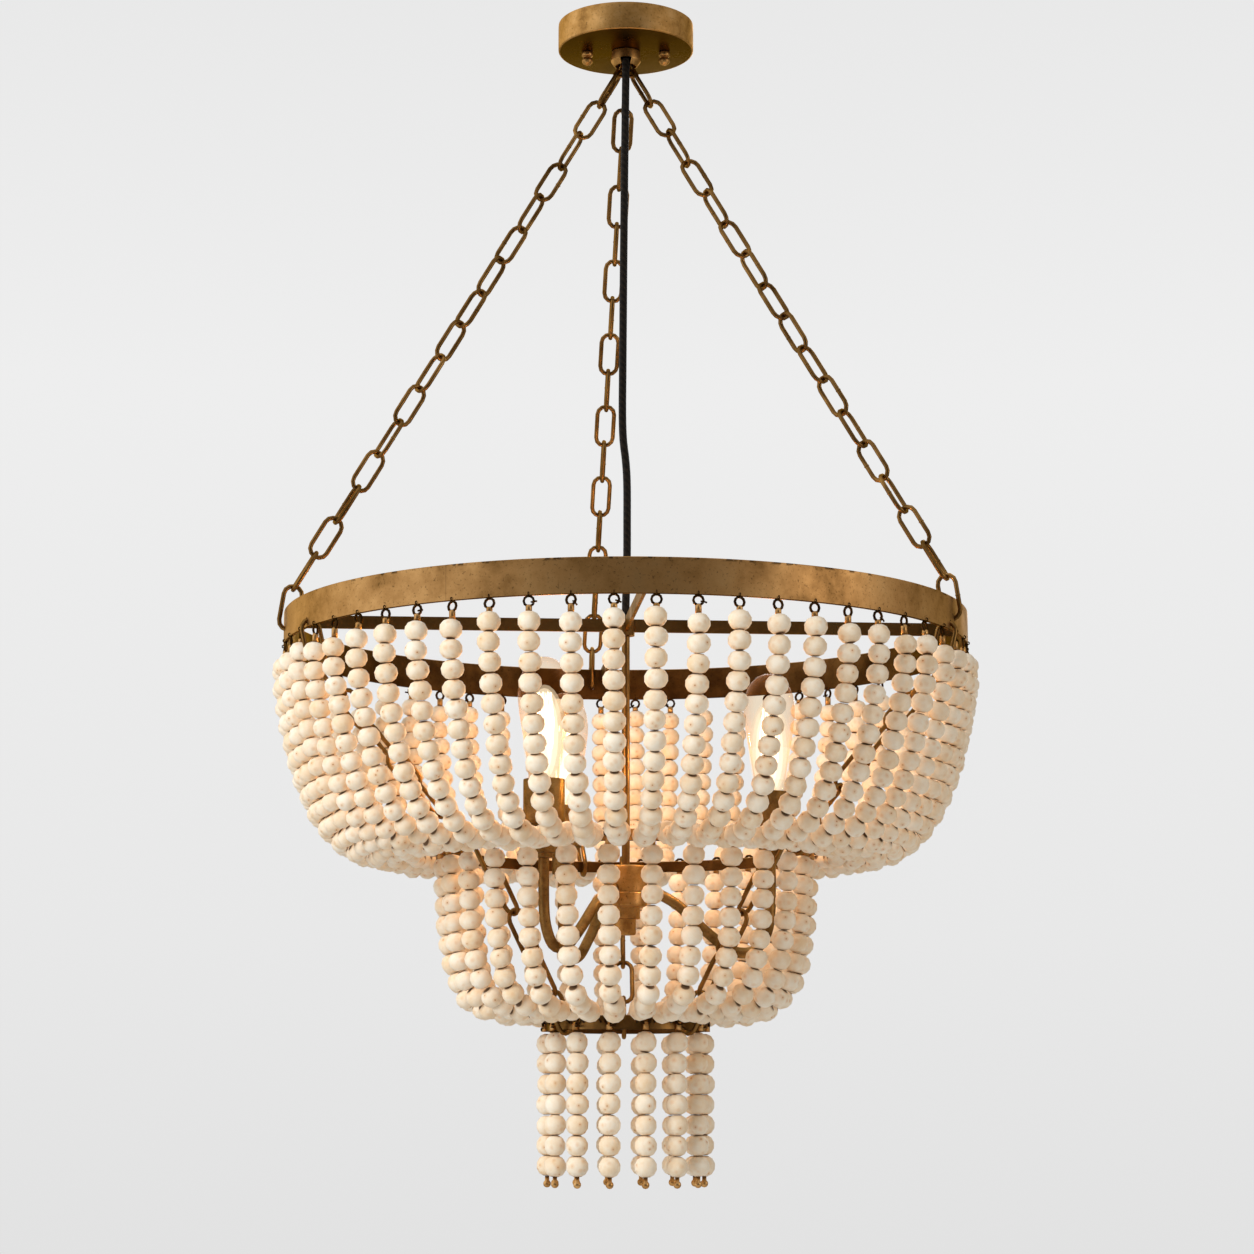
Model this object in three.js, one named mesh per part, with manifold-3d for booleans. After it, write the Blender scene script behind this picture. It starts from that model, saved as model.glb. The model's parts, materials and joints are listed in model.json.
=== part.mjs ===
// Beaded chandelier: a canopy at the ceiling, three link chains, and three brass rings hung with
// strands of turned wooden beads, round a hub with three upturned lamp arms.
// Millimetres, +Z up. The origin is the middle of the canopy's rim, in the plane of the ceiling.
import * as THREE from 'three';
import { mergeVertices } from 'three/addons/utils/BufferGeometryUtils.js';
import Module from 'manifold-3d';

const wasm = await Module();
wasm.setup();

// Driving dimensions
const gap = 0.3;        // between two pieces that touch
const overrun = 2;      // how far a cutter runs past what it cuts
const bite = 0.5;       // how deep two joined repeats run into each other

const canopy = { radius: 62.5, height: 25, wall: 1.6, edge: 2.5, screwAt: 35.7, facets: 26 };
const crossbar = { inset: 8.9, width: 16, thickness: 2.5, recess: 1.5, facets: 10 };
crossbar.length = 2 * (canopy.radius - canopy.wall - crossbar.inset);
const stud = { radius: 2, reach: 10, hole: 2.6, facets: 8 };
const nut = { flange: 6.5, flangeHeight: 3, neck: 3, ball: 4.6, facets: 8 };
const collar = {
  top: 13, radius: 13.9, mouth: 10.3, height: 14.1, flare: 5.2, wall: 1, roof: 1, nipple: 5, bore: 3.2,
  notch: 9.8, notchDrop: 4.7, facets: 16,
};
const eye = { drop: 5.7, halfSpan: 3.3, wire: 3 };
const hanger = { top: 3, shoulder: 5.9, shoulderDrop: 10.9, bottom: 11.2, height: 19.8, wire: 3 };
const slots = { left: -7.5, back: -0.3, right: 7.1 };

const link = { pitch: 35.8, width: 16, wire: 3.6 };   // width is across the wire's centre line
const upperRing = { radius: 305, wall: 3, top: -558.5, height: 30, facets: 48 };
const middleRing = { radius: 163, wall: 3, top: -762.5, height: 10, facets: 28 };
const lowerRing = { radius: 70, wall: 3, top: -913.5, height: 12, facets: 20 };
const chainHole = { radius: 5, belowTop: 20, aboveBottom: 8, facets: 6 };
const suspension = { left: 191, back: 96.5, right: 338, lean: 9 };
const tieLean = 14;
const upperTieGaps = { left: -5, back: -13, right: 5 };    // counted in gaps between middle strands
const lowerTieGaps = { left: -4, back: -14, right: 4 };

const straps = { height: 11.5, thickness: 3, turn: 4.5 };
const boss = { radius: 8, height: 15, facets: 12 };
const stem = { radius: 3.6, facets: 8 };
const hub = {
  radius: 19, top: -780, height: 36.4, edge: 1.5, neck: 12.5, neckHeight: 10.6, nub: 9, nubHeight: 14,
  facets: 14,
};
const arm = { radius: 4.75, exit: 17, drop: 59, rise: 15, facets: 6, steps: 11 };
const lamps = { inset: 35, count: 3, turn: -3 };
lamps.radius = middleRing.radius - lamps.inset;
const cup = { radius: 17.8, height: 38, top: -715, wall: 1.4, floor: 3, facets: 12 };
const stand = { collar: 10, collarHeight: 25, base: 7.5, baseHeight: 4, facets: 10 };
const insert = { wall: 1.8, below: 1.5, height: 29, floor: 2.5, facets: 12 };
const bulb = { radius: 23, height: 106, throat: 13.2, base: 12.2, baseHeight: 24, tip: 4, facets: 12 };

const bead = { radius: 9.25, neck: 4.6 };
const wire = { radius: 1.1, ferrule: 2.4, ferruleHeight: 5 };
const upperStrands = { count: 56, perSet: 14, beads: 15, hang: 10 };
const middleStrands = { count: 28, perSet: 7, beads: 11, first: 264.96, hang: 2 };
const lowerStrands = {
  count: 14, beads: 7, pitch: 17.6, hang: 1.4, ball: 3.3, tube: 1.8, tubeHeight: 3, sides: 3,
};
upperStrands.first = middleStrands.first + 90 / middleStrands.count;
lowerStrands.first = middleStrands.first - 180 / middleStrands.count;

const cord = { radius: 3.5, facets: 8, steps: 28 };

// Palette
const brassLook = { color: 0xa07a45, roughness: 0.45, metalness: 0.9 };
const darkBrassLook = { color: 0x5a4023, roughness: 0.5, metalness: 0.9 };
const woodLook = { color: 0xefe2cc, roughness: 0.75, metalness: 0 };
const glassLook = { color: 0xfff2dc, roughness: 0.05, metalness: 0, transparent: true, opacity: 0.4 };
const insulatorLook = { color: 0x2a2522, roughness: 0.6, metalness: 0 };
const cordLook = { color: 0x1c1712, roughness: 0.7, metalness: 0 };

// Shared helpers
const full = 2 * Math.PI;
const quarter = Math.PI / 2;
const radians = THREE.MathUtils.degToRad;
const vec = (x, y, z) => new THREE.Vector3(x, y, z);
const polar = (radius, degrees, z = 0) => {
  return vec(radius * Math.cos(radians(degrees)), radius * Math.sin(radians(degrees)), z);
};
const bottomOf = (ring) => ring.top - ring.height;
const midRadius = (ring) => ring.radius - ring.wall / 2;
const midHeight = (ring) => ring.top - ring.height / 2;
const gapAngle = (gaps) => middleStrands.first + (gaps + 0.5) * 360 / middleStrands.count;

const solidOf = (geometry) => {
  const bare = geometry.clone();
  bare.deleteAttribute('normal');
  bare.deleteAttribute('uv');
  const merged = mergeVertices(bare);
  const triVerts = new Uint32Array(merged.index.array);
  const vertProperties = new Float32Array(merged.attributes.position.array);
  return new wasm.Manifold(new wasm.Mesh({ numProp: 3, vertProperties, triVerts }));
};

const geometryOf = (solid) => {
  const mesh = solid.getMesh();
  const geometry = new THREE.BufferGeometry();
  geometry.setAttribute('position', new THREE.Float32BufferAttribute(mesh.vertProperties, mesh.numProp));
  geometry.setIndex(Array.from(mesh.triVerts));
  return geometry;
};

const join = (...geometries) => geometryOf(geometries.map(solidOf).reduce((a, b) => a.add(b)));
const cut = (geometry, ...cutters) => {
  return geometryOf(cutters.map(solidOf).reduce((a, b) => a.subtract(b), solidOf(geometry)));
};

// A solid of revolution about Z from [radius, height] pairs that start and end on the axis, or a
// ring from pairs that close on themselves. The pairs run with the solid on their left.
const revolve = (pairs, facets) => {
  const outline = pairs.map(([r, z]) => new THREE.Vector2(r, z));
  const geometry = new THREE.LatheGeometry(outline, facets);
  geometry.rotateX(quarter);
  return geometry;
};

const ringSection = (inner, outer, low, high) => {
  return [[outer, low], [outer, high], [inner, high], [inner, low], [outer, low]];
};

const cylinderAt = (radius, height, facets, middle, axis = vec(0, 0, 1)) => {
  const geometry = new THREE.CylinderGeometry(radius, radius, height, facets);
  const turn = new THREE.Quaternion().setFromUnitVectors(vec(0, 1, 0), axis);
  geometry.applyQuaternion(turn);
  geometry.translate(middle.x, middle.y, middle.z);
  return geometry;
};

const boxAt = (x, y, z, middle) => {
  const geometry = new THREE.BoxGeometry(x, y, z);
  geometry.translate(middle.x, middle.y, middle.z);
  return geometry;
};

const circle = (radius, facets) => {
  const shape = new THREE.Shape();
  for (let i = 0; i < facets; i++) {
    const a = (i / facets) * full;
    const x = radius * Math.cos(a);
    const y = radius * Math.sin(a);
    if (i === 0) shape.moveTo(x, y);
    else shape.lineTo(x, y);
  }
  shape.closePath();
  return shape;
};

const tubeAlong = (points, radius, facets, steps) => {
  const path = new THREE.CatmullRomCurve3(points, false, 'centripetal');
  const settings = { steps, extrudePath: path, bevelEnabled: false };
  return new THREE.ExtrudeGeometry(circle(radius, facets), settings);
};

// A skin over rings of points, each ring a list of vectors in the same turning sense. Two rings may
// differ in count: the triangles step along whichever ring lags behind. They start at the corner of
// the second ring that keeps the edges between the two rings shortest.
const skin = (rings, closed = false) => {
  const position = [];
  const index = [];
  const starts = rings.map((ring) => {
    const start = position.length / 3;
    ring.forEach((p) => position.push(p.x, p.y, p.z));
    return start;
  });
  const stitched = (a, b, offset) => {
    const n = rings[a].length;
    const m = rings[b].length;
    const triangles = [];
    let length = 0;
    let i = 0;
    let j = 0;
    while (i < n || j < m) {
      const stepA = j === m || (i < n && (i + 1) * m <= (j + 1) * n);
      const p = i % n;
      const q = (j + offset) % m;
      length += rings[a][p].distanceTo(rings[b][q]);
      if (stepA) triangles.push(starts[a] + p, starts[a] + ((i + 1) % n), starts[b] + q);
      else triangles.push(starts[a] + p, starts[b] + ((q + 1) % m), starts[b] + q);
      if (stepA) i++;
      else j++;
    }
    return { triangles, length };
  };
  const stitch = (a, b) => {
    const ways = rings[b].map((_, offset) => stitched(a, b, offset));
    const shortest = ways.reduce((best, way) => (way.length < best.length ? way : best));
    index.push(...shortest.triangles);
  };
  const last = rings.length - 1;
  for (let k = 0; k < last; k++) stitch(k, k + 1);
  if (closed) {
    stitch(last, 0);
  } else {
    for (let k = 1; k < rings[0].length - 1; k++) index.push(starts[0], starts[0] + k + 1, starts[0] + k);
    const end = starts[last];
    for (let k = 1; k < rings[last].length - 1; k++) index.push(end, end + k, end + k + 1);
  }
  const corner = (k) => vec(position[3 * k], position[3 * k + 1], position[3 * k + 2]);
  let volume = 0;
  for (let k = 0; k < index.length; k += 3) {
    volume += corner(index[k]).dot(vec(0, 0, 0).crossVectors(corner(index[k + 1]), corner(index[k + 2])));
  }
  if (volume < 0) index.reverse();
  const geometry = new THREE.BufferGeometry();
  geometry.setAttribute('position', new THREE.Float32BufferAttribute(position, 3));
  geometry.setIndex(index);
  return geometry;
};

// Link chains: every link is an eight-sided loop of wire with its ridge on the inside, so that two
// links meet ridge on ridge. The loop lies in the plane of its long axis and of its side direction.
const linkLoop = (centre, along, side, length) => {
  const halfWidth = link.width / 2;
  const halfLength = length / 2;
  const corner = halfWidth * (Math.SQRT2 - 1);
  const shoulder = halfLength - halfWidth + corner;
  const outline = [
    [halfWidth, -shoulder], [halfWidth, shoulder], [corner, halfLength], [-corner, halfLength],
    [-halfWidth, shoulder], [-halfWidth, -shoulder], [-corner, -halfLength], [corner, -halfLength],
  ];
  const up = vec(0, 0, 0).crossVectors(side, along);
  const half = link.wire / 2;
  const at = (x, y, z) => {
    return centre.clone().addScaledVector(side, x).addScaledVector(along, y).addScaledVector(up, z);
  };
  const rings = outline.map(([x, y], k) => {
    const [px, py] = outline[(k + 7) % 8];
    const [nx, ny] = outline[(k + 1) % 8];
    const a = Math.atan2(y - py, x - px);
    const b = Math.atan2(ny - y, nx - x);
    const middle = Math.atan2(Math.sin(a) + Math.sin(b), Math.cos(a) + Math.cos(b));
    const mitre = half / Math.cos(middle - a);
    const ox = Math.sin(middle) * mitre;
    const oy = -Math.cos(middle) * mitre;
    return [at(x + ox, y + oy, half), at(x - ox, y - oy, 0), at(x + ox, y + oy, -half)];
  });
  return skin(rings, true);
};

// A run of fused links between two end links that are already placed. Each end gives the middle of
// its link, its long axis and its side direction.
const linkChain = (start, finish) => {
  const startNode = start.centre.clone().addScaledVector(start.along, link.pitch / 2);
  const finishNode = finish.centre.clone().addScaledVector(finish.along, -link.pitch / 2);
  const span = finishNode.clone().sub(startNode);
  const count = Math.max(1, Math.round(span.length() / link.pitch));
  const pitch = span.length() / count;
  const along = span.clone().normalize();
  const flatten = (side) => side.clone().addScaledVector(along, -side.dot(along)).normalize();
  const from = flatten(start.side);
  const to = flatten(finish.side);
  const turn = Math.atan2(along.dot(vec(0, 0, 0).crossVectors(from, to)), from.dot(to));
  const steps = count + 1;
  const need = turn - quarter * steps;
  const twist = (need - Math.PI * Math.round(need / Math.PI)) / steps;
  const length = pitch + link.wire - bite;
  const pieces = [linkLoop(start.centre, start.along, start.side, endLength)];
  for (let k = 1; k <= count; k++) {
    const centre = startNode.clone().addScaledVector(along, (k - 0.5) * pitch);
    const side = from.clone().applyAxisAngle(along, k * (quarter + twist));
    pieces.push(linkLoop(centre, along, side, length));
  }
  pieces.push(linkLoop(finish.centre, finish.along, finish.side, endLength));
  return join(...pieces);
};

const endLength = link.pitch + link.wire - bite;

// The canopy group: shell, crossbar with its two studs, ball nuts, and the collar with its eye
const roofTop = -canopy.height - gap;
const eyeWire = -canopy.height - gap - collar.roof - eye.drop;
const hangerTop = eyeWire + (eye.wire + hanger.wire) / 2 + gap;
const hangerBar = hangerTop - hanger.height;

const canopyShell = () => {
  const low = -canopy.height;
  const inner = canopy.radius - canopy.wall;
  const shell = revolve([
    [collar.nipple + gap, low], [canopy.radius - canopy.edge, low], [canopy.radius, low + canopy.edge],
    [canopy.radius, 0], [inner, 0], [inner, low + canopy.edge + canopy.wall / 2],
    [inner - canopy.edge, low + canopy.wall], [collar.nipple + gap, low + canopy.wall],
    [collar.nipple + gap, low],
  ], canopy.facets);
  const drills = [-1, 1].map((side) => {
    const middle = vec(side * canopy.screwAt, 0, low + canopy.wall / 2);
    return cylinderAt(stud.hole, canopy.wall + overrun, stud.facets, middle);
  });
  return cut(shell, ...drills);
};

const crossbarWithStuds = () => {
  const top = -crossbar.recess;
  const barMiddle = vec(0, 0, top - crossbar.thickness / 2);
  const bar = boxAt(crossbar.length, crossbar.width, crossbar.thickness, barMiddle);
  const drillHeight = crossbar.thickness + overrun;
  const drill = cylinderAt(collar.nipple + gap, drillHeight, crossbar.facets, barMiddle);
  const low = -canopy.height - stud.reach;
  const studs = [-1, 1].map((side) => {
    const middle = vec(side * canopy.screwAt, 0, (top - crossbar.thickness / 2 + low) / 2);
    return cylinderAt(stud.radius, top - crossbar.thickness / 2 - low, stud.facets, middle);
  });
  return join(cut(bar, drill), ...studs);
};

// A flanged nut that ends in a ball, with a blind bore for its stud
const ballNut = (side) => {
  const top = -canopy.height - gap;
  const neckTop = top - nut.flangeHeight;
  const ballMiddle = neckTop - nut.ball;
  const body = revolve([
    [0, ballMiddle - nut.ball], [nut.ball * Math.SQRT1_2, ballMiddle - nut.ball * Math.SQRT1_2],
    [nut.ball, ballMiddle], [nut.ball * Math.SQRT1_2, ballMiddle + nut.ball * Math.SQRT1_2],
    [nut.neck, neckTop], [nut.flange, neckTop], [nut.flange, top], [0, top],
  ], nut.facets);
  const boreLow = -canopy.height - stud.reach - gap;
  const boreMiddle = vec(0, 0, (top + overrun + boreLow) / 2);
  const bore = cylinderAt(stud.hole, top + overrun - boreLow, stud.facets, boreMiddle);
  const geometry = cut(body, bore);
  geometry.translate(side * canopy.screwAt, 0, 0);
  return geometry;
};

// An open bell with a nipple up through the canopy, an eye under its roof, and a notch in front
// where the cord leaves
const collarBell = () => {
  const low = roofTop - collar.height;
  const flareTop = low + collar.flare;
  const roofLow = roofTop - collar.roof;
  const nippleTop = -crossbar.recess;
  const body = revolve([
    [collar.bore, roofLow], [collar.radius - collar.wall, roofLow],
    [collar.radius - collar.wall, flareTop], [collar.mouth - collar.wall, low], [collar.mouth, low],
    [collar.radius, flareTop], [collar.top, roofTop], [collar.nipple, roofTop],
    [collar.nipple, nippleTop], [collar.bore, nippleTop], [collar.bore, roofLow],
  ], collar.facets);
  const legHeight = roofLow - eyeWire + eye.wire / 2 + bite;
  const legs = [-1, 1].map((side) => {
    const middle = vec(0, side * eye.halfSpan, eyeWire - eye.wire / 2 + legHeight / 2);
    return boxAt(eye.wire, eye.wire, legHeight, middle);
  });
  const bar = boxAt(eye.wire, 2 * eye.halfSpan, eye.wire, vec(0, 0, eyeWire));
  const notchTop = roofTop - collar.notchDrop;
  const notchHeight = notchTop - low + overrun;
  const notch = boxAt(collar.notch, collar.radius, notchHeight,
    vec(0, -collar.radius, notchTop - notchHeight / 2));
  return cut(join(body, ...legs, bar), notch);
};

// The hanger hooks the eye: a tapered ring, wide at its bar, where the three chains hang
const hangerRing = () => {
  const corners = [
    [-hanger.top, hangerTop], [-hanger.shoulder, hangerTop - hanger.shoulderDrop],
    [-hanger.bottom, hangerBar], [hanger.bottom, hangerBar],
    [hanger.shoulder, hangerTop - hanger.shoulderDrop], [hanger.top, hangerTop],
  ];
  const outline = (grow) => corners.map(([x, z]) => {
    const rise = z === hangerTop ? grow : z === hangerBar ? -grow : 0;
    return [x + Math.sign(x) * grow, z + rise];
  });
  const half = hanger.wire / 2;
  const outer = outline(half);
  const inner = outline(-half);
  const rings = corners.map((_, k) => [
    vec(outer[k][0], -half, outer[k][1]), vec(outer[k][0], half, outer[k][1]),
    vec(inner[k][0], half, inner[k][1]), vec(inner[k][0], -half, inner[k][1]),
  ]);
  return skin(rings, true);
};

// The three rings and what joins them
const band = (ring) => revolve(
  ringSection(ring.radius - ring.wall, ring.radius, bottomOf(ring), ring.top), ring.facets);

const upperBand = () => {
  const drill = (degrees, z) => {
    const middle = polar(midRadius(upperRing), degrees, z);
    const depth = upperRing.wall + 2 * overrun;
    return cylinderAt(chainHole.radius, depth, chainHole.facets, middle, polar(1, degrees));
  };
  const high = upperRing.top - chainHole.belowTop;
  const low = bottomOf(upperRing) + chainHole.aboveBottom;
  const holes = [
    ...[suspension.left, suspension.back, suspension.right].map((a) => drill(a, high)),
    ...Object.values(upperTieGaps).map((gaps) => drill(gapAngle(gaps), low)),
  ];
  return cut(band(upperRing), ...holes);
};

const insideFlat = (ring) => (ring.radius - ring.wall) * Math.cos(Math.PI / ring.facets);

const crossStraps = () => {
  const length = 2 * (insideFlat(upperRing) - gap);
  const z = upperRing.top - straps.height / 2;
  const bars = [
    boxAt(length, straps.thickness, straps.height, vec(0, 0, z)),
    boxAt(straps.thickness, length, straps.height, vec(0, 0, z)),
  ];
  const cross = join(...bars, cylinderAt(boss.radius, boss.height, boss.facets,
    vec(0, 0, upperRing.top - boss.height / 2)));
  cross.rotateZ(radians(straps.turn));
  return cross;
};

const stemRod = () => {
  const high = upperRing.top - boss.height - gap;
  const low = hub.top + gap;
  return cylinderAt(stem.radius, high - low, stem.facets, vec(0, 0, (high + low) / 2));
};

const hubTurning = () => {
  const low = hub.top - hub.height;
  const neckLow = low - hub.neckHeight;
  const nubLow = neckLow - hub.nubHeight;
  return revolve([
    [0, nubLow], [hub.nub - hub.edge, nubLow], [hub.nub, nubLow + hub.edge], [hub.nub, neckLow],
    [hub.neck, neckLow], [hub.neck, low], [hub.radius - hub.edge, low], [hub.radius, low + hub.edge],
    [hub.radius, hub.top - hub.edge], [hub.radius - hub.edge, hub.top], [0, hub.top],
  ], hub.facets);
};

const holePlay = chainHole.radius * Math.cos(Math.PI / chainHole.facets) - link.wire / Math.SQRT2 - gap;

// Ends of the chains. The top of a suspension chain goes round the hanger's bar, and its last link
// goes through a hole in the upper ring.
const suspensionChain = (slot, degrees) => {
  const bar = vec(slot, 0, hangerBar);
  const hole = polar(midRadius(upperRing), degrees, upperRing.top - chainHole.belowTop);
  const outward = polar(1, degrees);
  const down = outward.clone().multiplyScalar(Math.sin(radians(suspension.lean)));
  down.z = -Math.cos(radians(suspension.lean));
  const seat = hanger.wire / Math.SQRT2 + link.wire / 2 + gap;
  const last = { centre: hole.clone().addScaledVector(down, -endLength / 2 - holePlay) };
  last.along = down;
  last.side = vec(0, 0, 0).crossVectors(polar(1, degrees + 90), down).normalize();
  const towards = last.centre.clone().addScaledVector(down, -link.pitch / 2).sub(bar).normalize();
  const first = { centre: bar.clone().addScaledVector(towards, endLength / 2 - seat), along: towards };
  first.side = vec(0, 0, 0).crossVectors(towards, vec(1, 0, 0)).normalize();
  return linkChain(first, last);
};

// How far above the middle of a ring's section a leaning link's end arc sits when it just clears the
// lower corners of that section
const cradle = (ring, lean) => {
  const room = (link.width - link.wire) / 2 - 2 * gap;
  const slants = [-1, 1].map((side) => {
    const x = side * ring.wall / 2;
    const along = -x * Math.sin(lean) + ring.height / 2 * Math.cos(lean);
    const across = Math.abs(x * Math.cos(lean) + ring.height / 2 * Math.sin(lean));
    const corner = (link.width / 2) * (Math.SQRT2 - 1);
    const depth = Math.min(room, room * Math.SQRT2 - across);
    return (across > corner ? depth : room) - along;
  });
  return Math.min(...slants);
};

// A tie chain carries one ring from the ring above it. Its top link goes through a hole or round the
// upper band, and its bottom link goes round the lower band.
const tieChainBetween = (upper, lower, degrees, throughHole) => {
  const outward = polar(1, degrees);
  const slope = Math.atan2(midRadius(upper) - midRadius(lower), midHeight(upper) - midHeight(lower));
  const direction = (lean) => {
    const down = outward.clone().multiplyScalar(-Math.sin(lean));
    down.z = -Math.cos(lean);
    return down;
  };
  const across = polar(1, degrees + 90);
  const topLean = throughHole ? radians(tieLean) : slope;
  const topDown = direction(topLean);
  const hook = endLength / 2 - link.width / 2;
  const first = { along: topDown };
  if (throughHole) {
    const hole = polar(midRadius(upper), degrees, bottomOf(upper) + chainHole.aboveBottom);
    first.centre = hole.addScaledVector(topDown, endLength / 2 + holePlay);
  } else {
    const middle = polar(midRadius(upper), degrees, midHeight(upper));
    first.centre = middle.addScaledVector(topDown, hook - cradle(upper, topLean));
  }
  first.side = vec(0, 0, 0).crossVectors(across, topDown).normalize();
  const bottomMiddle = polar(midRadius(lower), degrees, midHeight(lower));
  const down = direction(slope);
  const last = { centre: bottomMiddle.addScaledVector(down, cradle(lower, slope) * -1 - hook), along: down };
  last.side = vec(0, 0, 0).crossVectors(across, down).normalize();
  return linkChain(first, last);
};

// Lamp arms and lamp holders, built on the +X axis and turned into place
const armTop = cup.top - cup.height - stand.collarHeight - stand.baseHeight - gap;

const armTube = () => {
  const start = hub.top - hub.height / 2;
  const low = start - arm.drop;
  const reach = lamps.radius - arm.exit;
  const shares = [[0, 0], [0.1, 0.1], [0.26, 0.28], [0.5, 0.7], [0.7, 0.97], [0.86, 0.97], [0.97, 0.68]];
  const points = shares.map(([r, z]) => vec(arm.exit + r * reach, 0, start + z * (low - start)));
  points.push(vec(lamps.radius, 0, armTop - arm.rise), vec(lamps.radius, 0, armTop));
  const tube = tubeAlong(points, arm.radius, arm.facets, arm.steps);
  const clear = (hub.radius + gap) / Math.cos(Math.PI / hub.facets);
  const hubRoom = cylinderAt(clear, hub.height, hub.facets, vec(0, 0, start));
  return cut(tube, hubRoom);
};

const lampCup = () => {
  const low = cup.top - cup.height;
  const collarLow = low - stand.collarHeight;
  const baseLow = collarLow - stand.baseHeight;
  return revolve([
    [0, baseLow], [stand.base, baseLow], [stand.base, collarLow], [stand.collar, collarLow],
    [stand.collar, low - gap], [stand.collar, low], [cup.radius, low], [cup.radius, cup.top],
    [cup.radius - cup.wall, cup.top], [cup.radius - cup.wall, low + cup.floor], [0, low + cup.floor],
  ], cup.facets);
};

const lampInsert = () => {
  const outer = cup.radius - cup.wall - gap;
  const inner = outer - insert.wall;
  const top = cup.top - insert.below;
  const low = top - insert.height;
  return revolve([
    [0, low], [outer, low], [outer, top], [inner, top], [inner, low + insert.floor], [0, low + insert.floor],
  ], insert.facets);
};

const seatOfBase = cup.top - insert.below - insert.height + insert.floor + gap;

const bulbBase = () => {
  const shoulder = seatOfBase + bulb.tip;
  return revolve([
    [0, seatOfBase], [bulb.base / 2, seatOfBase], [bulb.base, shoulder],
    [bulb.base, seatOfBase + bulb.baseHeight], [0, seatOfBase + bulb.baseHeight],
  ], bulb.facets);
};

// The glass is a long pear that narrows to its throat
const bulbGlass = () => {
  const low = seatOfBase + bulb.baseHeight + gap;
  const top = cup.top + bulb.height;
  const profileShares = [[0, 0], [0.55, 0.03], [0.87, 0.12], [1, 0.28], [0.95, 0.45], [0.78, 0.68]];
  const outline = profileShares.map(([r, z]) => [r * bulb.radius, top + z * (low - top)]);
  outline.push([bulb.throat, cup.top], [bulb.throat, low], [0, low]);
  return revolve(outline.reverse(), bulb.facets);
};

const turnedTo = (geometry, degrees, radius = 0) => {
  geometry.translate(radius, 0, 0);
  geometry.rotateZ(radians(degrees));
  return geometry;
};

// Bead strands. A strand is one skin over rings along its path: a small ring at each seam and a wide
// one at each bead's middle, turned half a side against its neighbours.
const strandRing = (point, tangent, side, radius, sides, turn) => {
  const out = vec(0, 0, 0).crossVectors(side, tangent).normalize();
  return Array.from({ length: sides }, (_, k) => {
    const a = ((k + turn) / sides) * full;
    const across = point.clone().addScaledVector(out, radius * Math.cos(a));
    return across.addScaledVector(side, radius * Math.sin(a));
  });
};

// A three-sided ring stands for a round section of the same width
const triangleFor = (radius) => radius * 1.15;

const endRing = (point, tangent, side, depth, reachLow, reachHigh) => {
  const out = vec(0, 0, 0).crossVectors(side, tangent).normalize();
  return [
    point.clone().addScaledVector(out, depth), point.clone().addScaledVector(side, reachHigh),
    point.clone().addScaledVector(out, -depth), point.clone().addScaledVector(side, -reachLow),
  ];
};

const tiedStrand = (spec, pathPoints, tie, degrees, neighbours) => {
  const path = new THREE.CatmullRomCurve3(pathPoints, false, 'centripetal');
  const tangential = vec(0, 1, 0);
  const rings = [];
  const top = pathPoints[0];
  const wireTop = vec(top.x, 0, top.z + spec.hang - gap);
  const down = vec(0, 0, -1);
  rings.push(strandRing(wireTop, down, tangential, wire.radius, 3, 0));
  const ringCount = spec.drawn;
  for (let k = 0; k <= ringCount; k++) {
    const share = k / ringCount;
    const point = path.getPointAt(share);
    const tangent = path.getTangentAt(share);
    const seam = spec.beaded && k % 2 === 0;
    const lastBead = k === ringCount - 1;
    if (lastBead) {
      const spacing = full * point.x / spec.count;
      const reach = (open) => (open ? spacing / 2 - gap / 2 : spacing / 2 + bite);
      const reachLow = reach(neighbours.firstOfSet);
      const reachHigh = reach(neighbours.lastOfSet);
      rings.push(endRing(point, tangent, tangential, bead.radius, reachLow, reachHigh));
    } else {
      const end = k === 0 || k === ringCount;
      const radius = seam || end ? bead.neck : bead.radius;
      const turn = seam ? 0 : 0.5;
      rings.push(strandRing(point, tangent, tangential, triangleFor(radius), 3, turn));
    }
  }
  const tail = path.getTangentAt(1);
  const tieDirection = tie.clone().sub(path.getPointAt(1)).normalize();
  rings.push(strandRing(tie, tieDirection.lerp(tail, 0.5).normalize(), tangential, wire.radius, 3, 0));
  const geometry = skin(rings);
  geometry.rotateZ(radians(degrees));
  return geometry;
};

const pathBetween = (upper, lower, hang, pathShares) => {
  const reach = midRadius(upper) - midRadius(lower);
  const fall = bottomOf(upper) - bottomOf(lower);
  const start = [1, hang / fall];
  return [start, ...pathShares].map(([r, z]) => {
    return vec(midRadius(lower) + r * reach, 0, bottomOf(upper) - z * fall);
  });
};

const strandSet = (spec, upper, lower, pathShares, set) => {
  const points = pathBetween(upper, lower, spec.hang, pathShares);
  const tie = vec(lower.radius + gap, 0, midHeight(lower));
  const step = 360 / spec.count;
  const strands = Array.from({ length: spec.perSet }, (_, k) => {
    const neighbours = { firstOfSet: k === 0, lastOfSet: k === spec.perSet - 1 };
    const degrees = spec.first + (set * spec.perSet + k) * step;
    return tiedStrand(spec, points, tie, degrees, neighbours);
  });
  return join(...strands);
};

upperStrands.beaded = false;
upperStrands.drawn = 7;
middleStrands.beaded = true;
middleStrands.drawn = 2 * middleStrands.beads;

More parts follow.
